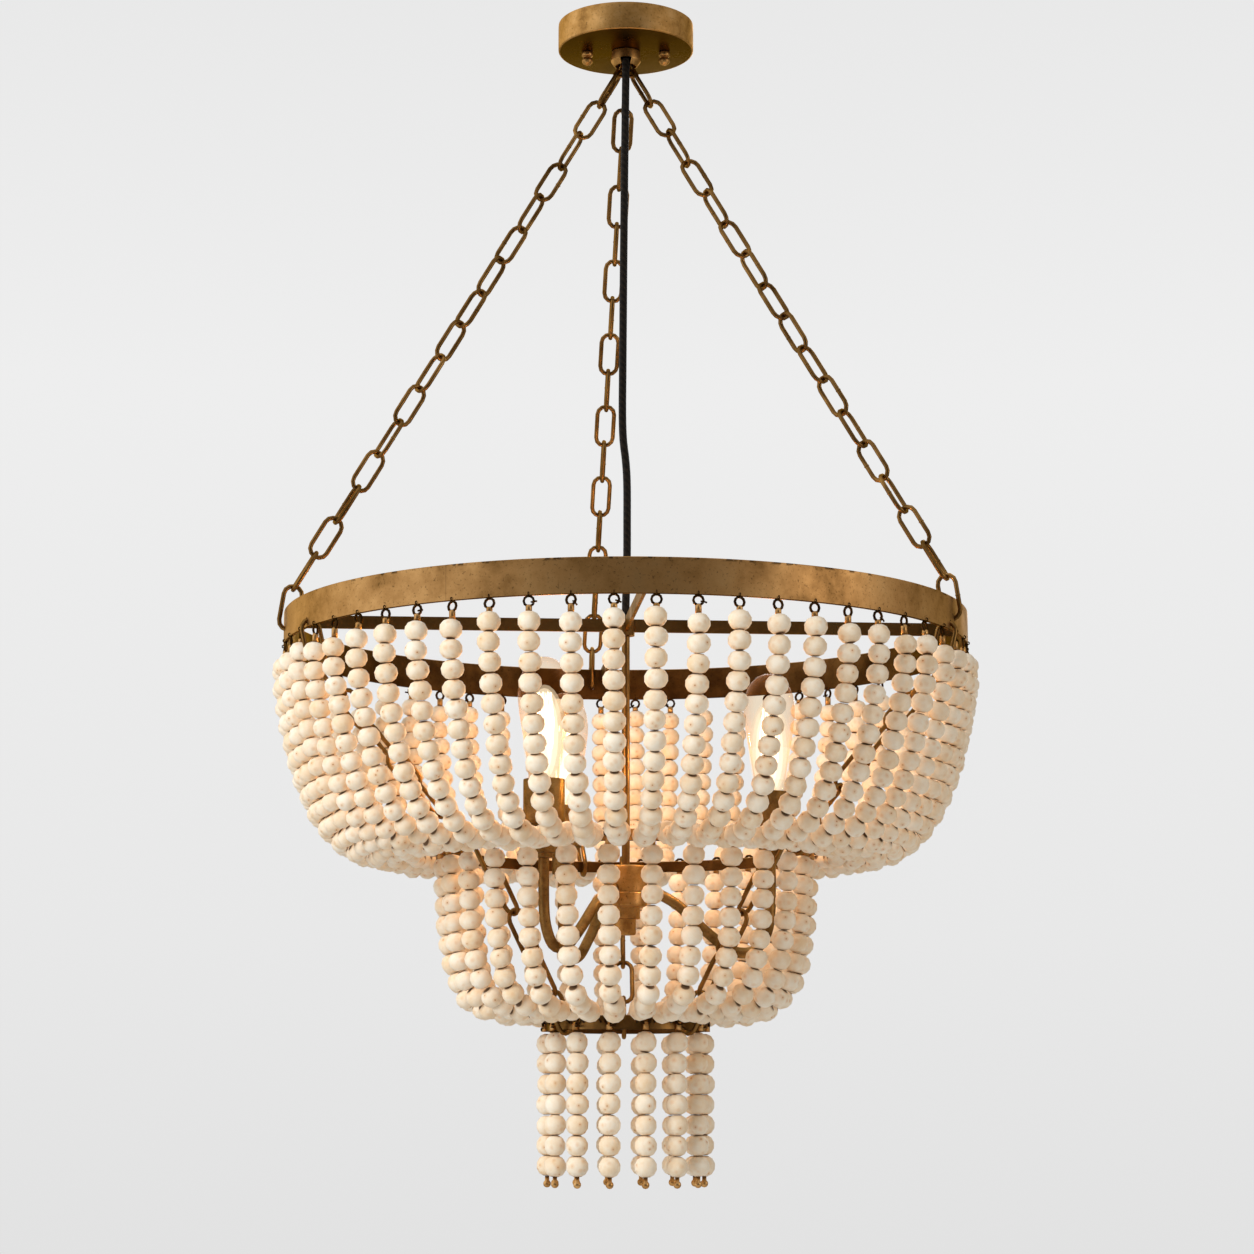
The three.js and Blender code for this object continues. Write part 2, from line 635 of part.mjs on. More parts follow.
const upperPathShares = [
  [1.0106, 0.171], [0.986, 0.307], [0.937, 0.481], [0.87, 0.649], [0.775, 0.807],
  [0.637, 0.932], [0.468, 0.992], [0.313, 0.997], [0.137, 0.97],
];
const middlePathShares = [
  [0.998, 0.147], [0.982, 0.31], [0.952, 0.48], [0.898, 0.644], [0.806, 0.775],
  [0.661, 0.859], [0.468, 0.895], [0.306, 0.902], [0.156, 0.905],
];

// A loose strand hangs straight from its eye under the lower ring and ends in a brass ball
const looseStrand = () => {
  const x = midRadius(lowerRing);
  const down = vec(0, 0, -1);
  const side = vec(0, 1, 0);
  const top = bottomOf(lowerRing) - lowerStrands.hang;
  const sides = lowerStrands.sides;
  const ring = (z, radius, turn = 0) => {
    return strandRing(vec(x, 0, z), down, side, triangleFor(radius), sides, turn);
  };
  const rings = [ring(bottomOf(lowerRing) - gap, wire.radius), ring(top, wire.ferrule)];
  for (let k = 0; k <= 2 * lowerStrands.beads; k++) {
    const seam = k % 2 === 0;
    rings.push(ring(top - gap - k * lowerStrands.pitch / 2, seam ? bead.neck : bead.radius, seam ? 0 : 0.5));
  }
  const low = top - gap - lowerStrands.beads * lowerStrands.pitch;
  const ballTop = low - lowerStrands.tubeHeight;
  rings.push(ring(ballTop, lowerStrands.tube), ring(ballTop - lowerStrands.ball, lowerStrands.ball, 0.5));
  rings.push(ring(ballTop - 2 * lowerStrands.ball, lowerStrands.tube / 2));
  return skin(rings);
};

// The supply cord runs from inside the collar's bell to the boss of the cross straps
const cordRoute = [
  [0, -9.6, -36], [0, -10.6, -41], [0, -12.2, -48], [0, -12.6, -56], [-0.2, -12, -68], [-0.5, -10.5, -95],
  [-1, -8.5, -130], [-1.5, -6.8, -180], [-2, -5.4, -230], [-2.4, -4.2, -280], [-2.8, -3.4, -330],
  [-3, -3, -375], [-2.2, -2.4, -395], [-0.2, -1.6, -412], [1, -1, -430], [1.2, -0.6, -470],
  [1.1, -0.3, -501], [0.4, 0, -530], [0, 0, -548], [0, 0, -558.2],
].map(([x, y, z]) => vec(x, y, z));

// Assembly
const chandelier = new THREE.Group();
const add = (name, geometry, look, parent = chandelier) => {
  const mesh = new THREE.Mesh(geometry, new THREE.MeshStandardMaterial(look));
  mesh.name = name;
  parent.add(mesh);
  return mesh;
};

add('canopy', canopyShell(), brassLook);
add('crossbar', crossbarWithStuds(), brassLook);
add('canopy_nut_left', ballNut(-1), brassLook);
add('canopy_nut_right', ballNut(1), brassLook);
add('collar', collarBell(), brassLook);
add('hanger_ring', hangerRing(), darkBrassLook);

const frame = new THREE.Group();
chandelier.add(frame);
for (const side of ['left', 'back', 'right']) {
  add(`suspension_chain_${side}`, suspensionChain(slots[side], suspension[side]), darkBrassLook, frame);
}
add('supply_cord', tubeAlong(cordRoute, cord.radius, cord.facets, cord.steps), cordLook, frame);
add('upper_ring', upperBand(), brassLook, frame);
add('cross_straps', crossStraps(), darkBrassLook, frame);
add('stem', stemRod(), darkBrassLook, frame);
add('hub', hubTurning(), brassLook, frame);
for (let k = 0; k < lamps.count; k++) {
  const turn = lamps.turn + k * 360 / lamps.count;
  const place = (geometry) => turnedTo(geometry, turn, lamps.radius);
  add(`lamp_arm_${k + 1}`, turnedTo(armTube(), turn), brassLook, frame);
  add(`lamp_cup_${k + 1}`, place(lampCup()), brassLook, frame);
  add(`lamp_insert_${k + 1}`, place(lampInsert()), insulatorLook, frame);
  add(`bulb_base_${k + 1}`, place(bulbBase()), brassLook, frame);
  add(`bulb_glass_${k + 1}`, place(bulbGlass()), glassLook, frame);
}
add('middle_ring', band(middleRing), darkBrassLook, frame);
add('lower_ring', band(lowerRing), darkBrassLook, frame);
for (const side of ['left', 'back', 'right']) {
  const upperTie = tieChainBetween(upperRing, middleRing, gapAngle(upperTieGaps[side]), true);
  add(`upper_tie_chain_${side}`, upperTie, darkBrassLook, frame);
  const lowerTie = tieChainBetween(middleRing, lowerRing, gapAngle(lowerTieGaps[side]), false);
  add(`lower_tie_chain_${side}`, lowerTie, darkBrassLook, frame);
}
for (let set = 0; set < upperStrands.count / upperStrands.perSet; set++) {
  const geometry = strandSet(upperStrands, upperRing, middleRing, upperPathShares, set);
  add(`upper_strands_${set + 1}`, geometry, woodLook, frame);
}
for (let set = 0; set < middleStrands.count / middleStrands.perSet; set++) {
  const geometry = strandSet(middleStrands, middleRing, lowerRing, middlePathShares, set);
  add(`middle_strands_${set + 1}`, geometry, woodLook, frame);
}
for (let k = 0; k < lowerStrands.count; k++) {
  const degrees = lowerStrands.first + k * 360 / lowerStrands.count;
  const name = `loose_strand_${String(k + 1).padStart(2, '0')}`;
  add(name, turnedTo(looseStrand(), degrees), woodLook, frame);
}

export default chandelier;
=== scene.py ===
"""Beaded chandelier: whitewashed wooden beads strung between brass rings, lit by three clear lamps.

Sizes are in millimetres in the classes and are turned to metres where a mesh is made. The origin is
the middle of the canopy's rim, in the plane of the ceiling, with +Z up.
"""

from __future__ import annotations

import json
import logging
import math
import random
from dataclasses import dataclass, field
from enum import Enum
from typing import Iterable, Sequence

import bmesh
import bpy
from mathutils import Matrix, Quaternion, Vector

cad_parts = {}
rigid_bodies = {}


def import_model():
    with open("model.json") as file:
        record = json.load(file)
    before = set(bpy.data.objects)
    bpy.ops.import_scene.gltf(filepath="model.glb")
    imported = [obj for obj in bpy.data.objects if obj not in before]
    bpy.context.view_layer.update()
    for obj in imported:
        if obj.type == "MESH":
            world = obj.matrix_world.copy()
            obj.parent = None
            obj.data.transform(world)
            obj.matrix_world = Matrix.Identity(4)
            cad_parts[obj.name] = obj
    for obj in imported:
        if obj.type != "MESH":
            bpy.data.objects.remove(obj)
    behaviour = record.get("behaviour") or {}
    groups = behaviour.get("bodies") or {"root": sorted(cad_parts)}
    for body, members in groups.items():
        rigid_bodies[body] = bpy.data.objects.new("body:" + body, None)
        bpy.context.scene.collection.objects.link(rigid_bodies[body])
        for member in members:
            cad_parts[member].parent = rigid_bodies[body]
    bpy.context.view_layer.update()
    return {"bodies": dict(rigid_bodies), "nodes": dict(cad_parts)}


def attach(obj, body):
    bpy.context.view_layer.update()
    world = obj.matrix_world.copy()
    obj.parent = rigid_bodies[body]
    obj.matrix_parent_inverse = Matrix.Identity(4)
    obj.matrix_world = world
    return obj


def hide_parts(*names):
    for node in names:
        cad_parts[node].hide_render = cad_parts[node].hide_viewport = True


logging.basicConfig(level=logging.INFO, format="%(message)s")
LOG = logging.getLogger("chandelier")

MM = 0.001
GAP = 0.3  # between two pieces that touch
HANGER_BAR = -48.5  # the height of the hanger's lower bar
SIDE_TO_CORNER = 2.2  # a side's length over the most that one corner's rounding takes of it
COLOURS = {"data_type": "RGBA"}
SMOOTH = {"interpolation_type": "SMOOTHSTEP"}


class Side(Enum):
    """The three chains of a set, named as they are seen from the front."""

    LEFT = "left"
    BACK = "back"
    RIGHT = "right"


def polar(radius: float, degrees: float, z: float = 0.0) -> Vector:
    """Return the point at a radius, an angle from +X and a height."""
    angle = math.radians(degrees)
    return Vector((radius * math.cos(angle), radius * math.sin(angle), z))


def srgb(code: str, alpha: float = 1.0) -> tuple[float, float, float, float]:
    """Turn an sRGB hex colour into linear values.

    Args:
        code: The colour, such as "#a67c43".
        alpha: The alpha to carry along.

    Returns:
        Red, green, blue and alpha, linear.
    """
    parts = [int(code[k : k + 2], 16) / 255 for k in (1, 3, 5)]
    linear = [c / 12.92 if c <= 0.04045 else ((c + 0.055) / 1.055) ** 2.4 for c in parts]
    return (linear[0], linear[1], linear[2], alpha)


# Curves through points


class SmoothPath:
    """A smooth line through points, measured along its length."""

    def __init__(self, points: Sequence[Vector], steps: int = 24) -> None:
        """Lay the line through the points.

        Args:
            points: What the line goes through, in millimetres.
            steps: How many short steps stand for each stretch.
        """
        self.samples: list[Vector] = []
        last = len(points) - 1
        for i in range(last):
            before = points[i - 1] if i > 0 else points[0] * 2 - points[1]
            after = points[i + 2] if i + 2 <= last else points[last] * 2 - points[last - 1]
            span = [before, points[i], points[i + 1], after]
            self.samples += [self._between(span, k / steps) for k in range(steps)]
        self.samples.append(points[last].copy())
        self.lengths = [0.0]
        for a, b in zip(self.samples, self.samples[1:]):
            self.lengths.append(self.lengths[-1] + (b - a).length)

    @staticmethod
    def _between(span: Sequence[Vector], share: float) -> Vector:
        """Return a point on the middle stretch of four points.

        Args:
            span: The four points.
            share: How far along the stretch, from 0 to 1.

        Returns:
            The point.
        """
        knots = [0.0]
        for a, b in zip(span, span[1:]):
            knots.append(knots[-1] + max((b - a).length, 1e-6) ** 0.5)
        t = knots[1] + share * (knots[2] - knots[1])
        level = list(span)
        for depth in (1, 2):
            level = [
                level[i].lerp(level[i + 1], (t - knots[i]) / (knots[i + depth] - knots[i]))
                for i in range(len(level) - 1)
            ]
        return level[0].lerp(level[1], (t - knots[1]) / (knots[2] - knots[1]))

    @property
    def length(self) -> float:
        """The line's whole length."""
        return self.lengths[-1]

    def at(self, share: float) -> tuple[Vector, Vector]:
        """Return the point and the direction a share of the way along.

        Args:
            share: From 0 at the start to 1 at the end.

        Returns:
            The point and the unit direction there.
        """
        goal = min(max(share, 0.0), 1.0) * self.length
        k = 0
        while k < len(self.lengths) - 2 and self.lengths[k + 1] < goal:
            k += 1
        a, b = self.samples[k], self.samples[k + 1]
        span = max(self.lengths[k + 1] - self.lengths[k], 1e-9)
        return a.lerp(b, (goal - self.lengths[k]) / span), (b - a).normalized()


# Meshes


def object_from(
    name: str, bm: bmesh.types.BMesh, materials: Iterable[bpy.types.Material]
) -> bpy.types.Object:
    """Make an object at the origin from a bmesh in millimetres.

    Args:
        name: The piece's name.
        bm: Its shape, which is freed.
        materials: Its materials, in the order of the faces' indices.

    Returns:
        The new object.
    """
    bmesh.ops.transform(bm, matrix=Matrix.Scale(MM, 4), verts=bm.verts)
    for face in bm.faces:
        face.smooth = True
    mesh = bpy.data.meshes.new(name)
    bm.to_mesh(mesh)
    bm.free()
    piece = bpy.data.objects.new(name, mesh)
    bpy.context.scene.collection.objects.link(piece)
    for material in materials:
        mesh.materials.append(material)
    return piece


def crease_by_angle(piece: bpy.types.Object, degrees: float = 35.0) -> bpy.types.Object:
    """Mark the edges that are sharper than an angle, so that only the rest shade smooth.

    Args:
        piece: The object.
        degrees: The angle between two faces from which their edge is sharp.

    Returns:
        The same object.
    """
    mesh = piece.data
    bm = bmesh.new()
    bm.from_mesh(mesh)
    limit = math.radians(degrees)
    for edge in bm.edges:
        if len(edge.link_faces) == 2:
            edge.smooth = edge.calc_face_angle(0.0) < limit
    bm.to_mesh(mesh)
    bm.free()
    return piece


def outward(bm: bmesh.types.BMesh) -> bmesh.types.BMesh:
    """Merge doubled points and turn every face outwards.

    Args:
        bm: The shape.

    Returns:
        The same shape.
    """
    bmesh.ops.remove_doubles(bm, verts=bm.verts, dist=0.001)
    bmesh.ops.recalc_face_normals(bm, faces=bm.faces)
    return bm


def lathe(outline: Sequence[tuple[float, float]], steps: int, closed: bool = False) -> bmesh.types.BMesh:
    """Spin an outline of (radius, height) points round the Z axis.

    Args:
        outline: The points, in order.
        steps: How many steps a full turn has.
        closed: Whether the last point joins the first.

    Returns:
        The closed shape.
    """
    bm = bmesh.new()
    verts = [bm.verts.new((r, 0, z)) for r, z in outline]
    pairs = list(zip(verts, verts[1:])) + ([(verts[-1], verts[0])] if closed else [])
    edges = [bm.edges.new(pair) for pair in pairs]
    bmesh.ops.spin(
        bm, geom=verts + edges, cent=(0, 0, 0), axis=(0, 0, 1), angle=2 * math.pi, steps=steps,
        use_merge=True,
    )
    return outward(bm)


def eased_corner(
    before: Vector, corner: Vector, after: Vector, radius: float, shares: Sequence[float]
) -> list[Vector]:
    """Return points on the curve that rounds a corner.

    Args:
        before: The point before the corner.
        corner: The corner.
        after: The point after the corner.
        radius: How far from the corner the rounding starts, where the sides are long enough.
        shares: Where on the curve the points are, from 0 to 1.

    Returns:
        The points, in order.
    """
    a, b = (
        corner + (end - corner).normalized() * min(radius, (end - corner).length / SIDE_TO_CORNER)
        for end in (before, after)
    )
    return [a.lerp(corner, t).lerp(corner.lerp(b, t), t) for t in shares]


def rounded(
    outline: Sequence[tuple[float, float]], radius: float, steps: int = 3
) -> list[tuple[float, float]]:
    """Round the inner corners of an open outline.

    Args:
        outline: The (radius, height) points.
        radius: How far from a corner the rounding starts.
        steps: How many short edges each rounding has.

    Returns:
        The outline with rounded corners.
    """
    points = [Vector(p) for p in outline]
    shares = [k / steps for k in range(steps + 1)]
    result = [points[0]]
    for before, corner, after in zip(points, points[1:], points[2:]):
        result += eased_corner(before, corner, after, radius, shares)
    result.append(points[-1])
    return [(p.x, p.y) for p in result]


def grown_ring(
    bm: bmesh.types.BMesh, edges: Sequence[bmesh.types.BMEdge]
) -> tuple[list[bmesh.types.BMVert], list[bmesh.types.BMEdge]]:
    """Extrude a ring of edges where it is.

    Args:
        bm: The shape.
        edges: The ring's edges.

    Returns:
        The new ring's points and its edges.
    """
    made = bmesh.ops.extrude_edge_only(bm, edges=edges)["geom"]
    ring = [g for g in made if isinstance(g, bmesh.types.BMVert)]
    lines = [g for g in made if isinstance(g, bmesh.types.BMEdge)]
    return ring, [line for line in lines if all(v in ring for v in line.verts)]


def sweep(points: Sequence[Vector], radius: float, sides: int, caps: bool = True) -> bmesh.types.BMesh:
    """Draw a round section along a line by extruding it step by step.

    Args:
        points: The line, in millimetres.
        radius: The section's radius.
        sides: The section's sides.
        caps: Whether the ends are closed.

    Returns:
        The tube.
    """
    bm = bmesh.new()
    ahead = (points[1] - points[0]).normalized()
    place = Matrix.Translation(points[0]) @ ahead.to_track_quat("Z", "Y").to_matrix().to_4x4()
    start = bmesh.ops.create_circle(bm, cap_ends=caps, radius=radius, segments=sides, matrix=place)["verts"]
    edges = list({e for v in start for e in v.link_edges})
    for k in range(1, len(points)):
        nxt = (points[min(k + 1, len(points) - 1)] - points[k - 1]).normalized()
        ring, edges = grown_ring(bm, edges)
        swing = ahead.rotation_difference(nxt)
        bmesh.ops.translate(bm, verts=ring, vec=points[k] - points[k - 1])
        bmesh.ops.rotate(bm, verts=ring, cent=points[k], matrix=swing.to_matrix())
        ahead = nxt
    if caps:
        bmesh.ops.contextual_create(bm, geom=edges)
    return outward(bm)


def stadium_loop(
    length: float, width: float, wire: float, sides: int = 8, turns: int = 6
) -> bmesh.types.BMesh:
    """Make an oval link of round wire by spinning and extruding its section.

    Args:
        length: Between the middles of the wire at the two ends.
        width: Between the middles of the wire at the two sides.
        wire: The wire's thickness.
        sides: The sides of the wire's section.
        turns: The steps of each end's half circle.

    Returns:
        The link in the XY plane, long along Y.
    """
    bm = bmesh.new()
    half, straight = width / 2, max((length - width) / 2, 0.001)
    place = Matrix.Translation((half, -straight, 0)) @ Matrix.Rotation(math.pi / 2, 4, "X")
    start = bmesh.ops.create_circle(bm, radius=wire / 2, segments=sides, matrix=place)["verts"]
    edges = list({e for v in start for e in v.link_edges})
    for run, centre in ((2 * straight, straight), (-2 * straight, -straight)):
        ring, edges = grown_ring(bm, edges)
        bmesh.ops.translate(bm, verts=ring, vec=(0, run, 0))
        spun = bmesh.ops.spin(
            bm, geom=ring + edges, cent=(0, centre, 0), axis=(0, 0, 1), angle=math.pi, steps=turns
        )["geom_last"]
        ring = [g for g in spun if isinstance(g, bmesh.types.BMVert)]
        edges = [g for g in spun if isinstance(g, bmesh.types.BMEdge)]
    return outward(bm)


class Gathered:
    """A mesh that gathers many placed copies of small shapes."""

    def __init__(self) -> None:
        """Start with nothing gathered."""
        self.bm = bmesh.new()
        self.tone = self.bm.verts.layers.float.new("tone")
        # bore marks the points at each bead's ends, where the finish paints the shade of the seam between
        # beads
        self.bore = self.bm.verts.layers.float.new("bore")

    def add(
        self, shape: bpy.types.Mesh, place: Matrix, material: int = 0, tone: float = 0.5, bore: float = 0.0
    ) -> None:
        """Add one copy of a shape.

        Args:
            shape: The mesh to copy, in millimetres.
            place: Where the copy goes.
            material: The material index of its faces.
            tone: The copy's own tone, from 0 to 1, that its finish reads.
            bore: The radius round its bore inside which its points are marked for the painted seam shade, or
                0.
        """
        first_vert, first_face = len(self.bm.verts), len(self.bm.faces)
        self.bm.from_mesh(shape)
        self.bm.verts.ensure_lookup_table()
        self.bm.faces.ensure_lookup_table()
        verts = self.bm.verts[first_vert:]
        for vert in verts:
            vert[self.tone] = tone
            vert[self.bore] = 1.0 if vert.co.xy.length < bore else 0.0
        bmesh.ops.transform(self.bm, matrix=place, verts=verts)
        for face in self.bm.faces[first_face:]:
            face.material_index = material

    def piece(self, name: str, materials: Iterable[bpy.types.Material]) -> bpy.types.Object:
        """Turn what was gathered into an object."""
        return object_from(name, self.bm, materials)


def template(bm: bmesh.types.BMesh, name: str) -> bpy.types.Mesh:
    """Keep a bmesh as a mesh that copies are taken from.

    Args:
        bm: The shape, which is freed.
        name: The mesh's name.

    Returns:
        The mesh, in millimetres.
    """
    mesh = bpy.data.meshes.new(name)
    bm.to_mesh(mesh)
    bm.free()
    return mesh


def frame_of(origin: Vector, side: Vector, along: Vector) -> Matrix:
    """Return the placement of something flat, such as a link.

    Args:
        origin: Where its middle goes.
        side: Where its X points.
        along: Where its Y points, as near as it can at right angles to X.

    Returns:
        The placement.
    """
    x = side.normalized()
    y = (along - x * along.dot(x)).normalized()
    rows = Matrix((x, y, x.cross(y))).transposed().to_4x4()
    return Matrix.Translation(origin) @ rows


# Finishes


def add_node(
    tree: bpy.types.NodeTree,
    kind: str,
    settings: dict[str, object] | None = None,
    stops: Sequence[tuple[float, tuple[float, float, float, float]]] = (),
    **links: object,
) -> bpy.types.Node:
    """Add a node with its settings and what goes into its sockets.

    Args:
        tree: The material's or world's tree.
        kind: The node's type.
        settings: Properties to set on the node.
        stops: For a colour ramp, the place and colour of each stop.
        **links: Socket names, with spaces as underscores, or i0, i1 for sockets by number, and for
            each an output socket or a value.

    Returns:
        The node.
    """
    node = tree.nodes.new(kind)
    for key, value in (settings or {}).items():
        setattr(node, key, value)
    for key, value in links.items():
        by_number = key[0] == "i" and key[1:].isdigit()
        socket = node.inputs[int(key[1:])] if by_number else node.inputs[key.replace("_", " ")]
        if isinstance(value, bpy.types.NodeSocket):
            tree.links.new(value, socket)
        else:
            socket.default_value = value
    if stops:
        elements = node.color_ramp.elements
        while len(elements) < len(stops):
            elements.new(0.5)
        for element, (place, colour) in zip(elements, stops):
            element.position = place
            element.color = colour
    return node


def grey(value: float) -> tuple[float, float, float, float]:
    """Return a grey with full alpha."""
    return (value, value, value, 1.0)


@dataclass(frozen=True)
class Finish:
    """What every finish has: a name and a way to its material."""

    name: str

    def start(self) -> tuple[bpy.types.Material, bpy.types.NodeTree, bpy.types.Node, bpy.types.NodeSocket]:
        """Make an empty material.

        Returns:
            The material, its tree, its main shader and the object coordinates.
        """
        material = bpy.data.materials.new(self.name)
        material.use_nodes = True
        tree = material.node_tree
        shader = tree.nodes["Principled BSDF"]
        where = add_node(tree, "ShaderNodeTexCoord").outputs["Object"]
        return material, tree, shader, where

    def build(self) -> bpy.types.Material:
        """Make the material."""
        raise NotImplementedError  # each finish has its own


@dataclass(frozen=True)
class WhitewashedBeech(Finish):
    """Beech beads, turned and dipped in thin white paint: chalky and pale, with the darker wood
    showing through in soft spots. Round each drilled end a warm darker groove and a dark ring are
    painted shade, standing in for the shadow where one bead meets the next."""

    pale: str = "#faf1e0"
    warm: str = "#efd5b0"
    # painted shade in the groove round each drilled end, where two beads meet
    groove_shade: str = "#daaa74"
    spot: str = "#b5793c"
    stained: str = "#e2b27c"
    # painted shadow in the seam between two beads, a dark ring round each drilled end
    seam_shadow: str = "#5c4027"
    spot_spacing_mm: float = 7.6
    spot_radius_mm: float = 0.8
    blotch_mm: float = 9.0
    grain_mm: float = 0.9

    def build(self) -> bpy.types.Material:
        """Make the material.

        Returns:
            The material.
        """
        material, tree, shader, where = self.start()
        tone = add_node(tree, "ShaderNodeAttribute", {"attribute_name": "tone"}).outputs["Fac"]
        bore = add_node(tree, "ShaderNodeAttribute", {"attribute_name": "bore"}).outputs["Fac"]
        blotch = add_node(
            tree, "ShaderNodeTexNoise",
            Vector=where, Scale=1 / (self.blotch_mm * MM), Detail=3.0, Roughness=0.6
        ).outputs["Fac"]
        mixed = add_node(tree, "ShaderNodeMath", {"operation": "MULTIPLY_ADD"}, i0=tone, i1=0.25, i2=blotch)
        wash = [(0.40, srgb(self.pale)), (0.92, srgb(self.warm))]
        colour = add_node(tree, "ShaderNodeValToRGB", stops=wash, Fac=mixed.outputs[0]).outputs["Color"]
        spots = add_node(
            tree, "ShaderNodeTexVoronoi", Vector=where, Scale=1 / (self.spot_spacing_mm * MM)
        ).outputs["Distance"]
        edge = self.spot_radius_mm / self.spot_spacing_mm
        # Each layer: where its amount comes from, how strong it is there, and its colour
        layers = (
            (spots, [(edge * 1.0, grey(0.5)), (edge * 3.6, grey(0.0))], self.stained),
            (spots, [(edge * 0.4, grey(0.85)), (edge * 1.15, grey(0.0))], self.spot),
            # the last two layers are painted shade in the seam between two beads
            (bore, [(0.3, grey(0.0)), (0.85, grey(0.36))], self.groove_shade),
            (bore, [(0.74, grey(0.0)), (0.98, grey(0.9))], self.seam_shadow),
        )
        for source, stops, code in layers:
            amount = add_node(tree, "ShaderNodeValToRGB", stops=stops, Fac=source).outputs["Color"]
            colour = add_node(tree, "ShaderNodeMix", COLOURS, i0=amount, i6=colour, i7=srgb(code)).outputs[2]
        tree.links.new(colour, shader.inputs["Base Color"])
        grain = add_node(
            tree, "ShaderNodeTexNoise", Vector=where, Scale=1 / (self.grain_mm * MM), Detail=2.0
        ).outputs["Fac"]
        bump = add_node(tree, "ShaderNodeBump", Height=grain, Strength=0.12, Distance=0.0003)
        tree.links.new(bump.outputs["Normal"], shader.inputs["Normal"])
        shader.inputs["Roughness"].default_value = 0.58
        shader.inputs["Specular IOR Level"].default_value = 0.35
        return material


@dataclass(frozen=True)
class AgedBrass(Finish):
    """Sheet brass, rolled, brushed and darkened by an antiquing bath: a warm metal with cloudy brown
    patina, fine dark specks, and nicks where the patina is knocked off or pooled."""

    light: str = "#a98450"
    middle: str = "#87643a"
    dark: str = "#523817"
    cloud_mm: float = 34.0
    speck_mm: float = 2.2
    roughness: float = 0.42
    pitted: float = 0.75
    grazing: str = "#e0c8a4"
    nicked_edge_mm: float | None = None
    nick_reach_mm: float = 2.6
    nick_full_mm: float = 1.0
    nick_spacing_mm: float = 9.0
    nick: str = "#3c2a17"
    seam_degrees: float = 241.5
    seam_width_mm: float = 0.9

    def worn(
        self, tree: bpy.types.NodeTree, where: bpy.types.NodeSocket, colour: bpy.types.NodeSocket
    ) -> bpy.types.NodeSocket:
        """Darken nicks along a band's upper edge and the fine line where its ends are joined.

        Args:
            tree: The material's tree.
            where: The object coordinates.
            colour: The colour so far.

        Returns:
            The darkened colour.
        """
        height = add_node(tree, "ShaderNodeSeparateXYZ", Vector=where).outputs[2]
        top = self.nicked_edge_mm * MM
        near = add_node(
            tree, "ShaderNodeMapRange",
            i0=height, i1=top - self.nick_reach_mm * MM, i2=top - self.nick_full_mm * MM,
        ).outputs[0]
        patch = add_node(
            tree, "ShaderNodeTexNoise", Vector=where, Scale=1 / (self.nick_spacing_mm * MM), Detail=2.0
        ).outputs["Fac"]
        spots = add_node(tree, "ShaderNodeMapRange", i0=patch, i1=0.56, i2=0.62, i3=0.0, i4=0.85).outputs[0]
        nicks = add_node(tree, "ShaderNodeMath", {"operation": "MULTIPLY"}, i0=near, i1=spots).outputs[0]
        turn = math.radians(self.seam_degrees)
        across = add_node(
            tree, "ShaderNodeVectorMath", {"operation": "DOT_PRODUCT"},
            i0=where, i1=(math.sin(turn), -math.cos(turn), 0),
        ).outputs["Value"]
        off = add_node(tree, "ShaderNodeMath", {"operation": "ABSOLUTE"}, i0=across).outputs[0]
        seam = add_node(
            tree, "ShaderNodeMapRange", i0=off, i1=0.0, i2=self.seam_width_mm * MM, i3=0.26, i4=0.0
        ).outputs[0]
        amount = add_node(tree, "ShaderNodeMath", {"operation": "MAXIMUM"}, i0=nicks, i1=seam).outputs[0]
        return add_node(tree, "ShaderNodeMix", COLOURS, i0=amount, i6=colour, i7=srgb(self.nick)).outputs[2]

    def build(self) -> bpy.types.Material:
        """Make the material.

        Returns:
            The material.
        """
        material, tree, shader, where = self.start()
        cloud = add_node(
            tree, "ShaderNodeTexNoise",
            Vector=where, Scale=1 / (self.cloud_mm * MM), Detail=6.0, Roughness=0.62
        ).outputs["Fac"]
        shades = [(0.28, srgb(self.dark)), (0.47, srgb(self.middle)), (0.68, srgb(self.light))]
        patina = add_node(tree, "ShaderNodeValToRGB", stops=shades, Fac=cloud).outputs["Color"]
        speck = add_node(
            tree, "ShaderNodeTexNoise",
            Vector=where, Scale=1 / (self.speck_mm * MM), Detail=3.0, Roughness=0.7
        ).outputs["Fac"]
        depth = [(0.30, grey(0.25)), (0.42, grey(1.0))]
        pits = add_node(tree, "ShaderNodeValToRGB", stops=depth, Fac=speck).outputs["Color"]
        colour = add_node(
            tree, "ShaderNodeMix", {**COLOURS, "blend_type": "MULTIPLY"}, i0=self.pitted, i6=patina, i7=pits
        ).outputs[2]
        if self.nicked_edge_mm is not None:
            colour = self.worn(tree, where, colour)
        tree.links.new(colour, shader.inputs["Base Color"])
        rough = add_node(
            tree, "ShaderNodeMapRange",
            i0=cloud, i1=0.3, i2=0.7, i3=self.roughness + 0.14, i4=self.roughness - 0.06,
        ).outputs[0]
        tree.links.new(rough, shader.inputs["Roughness"])
        bump = add_node(tree, "ShaderNodeBump", Height=speck, Strength=0.2 * self.pitted, Distance=0.0002)
        tree.links.new(bump.outputs["Normal"], shader.inputs["Normal"])
        shader.inputs["Metallic"].default_value = 1.0
        shader.inputs["Specular Tint"].default_value = srgb(self.grazing)
        return material


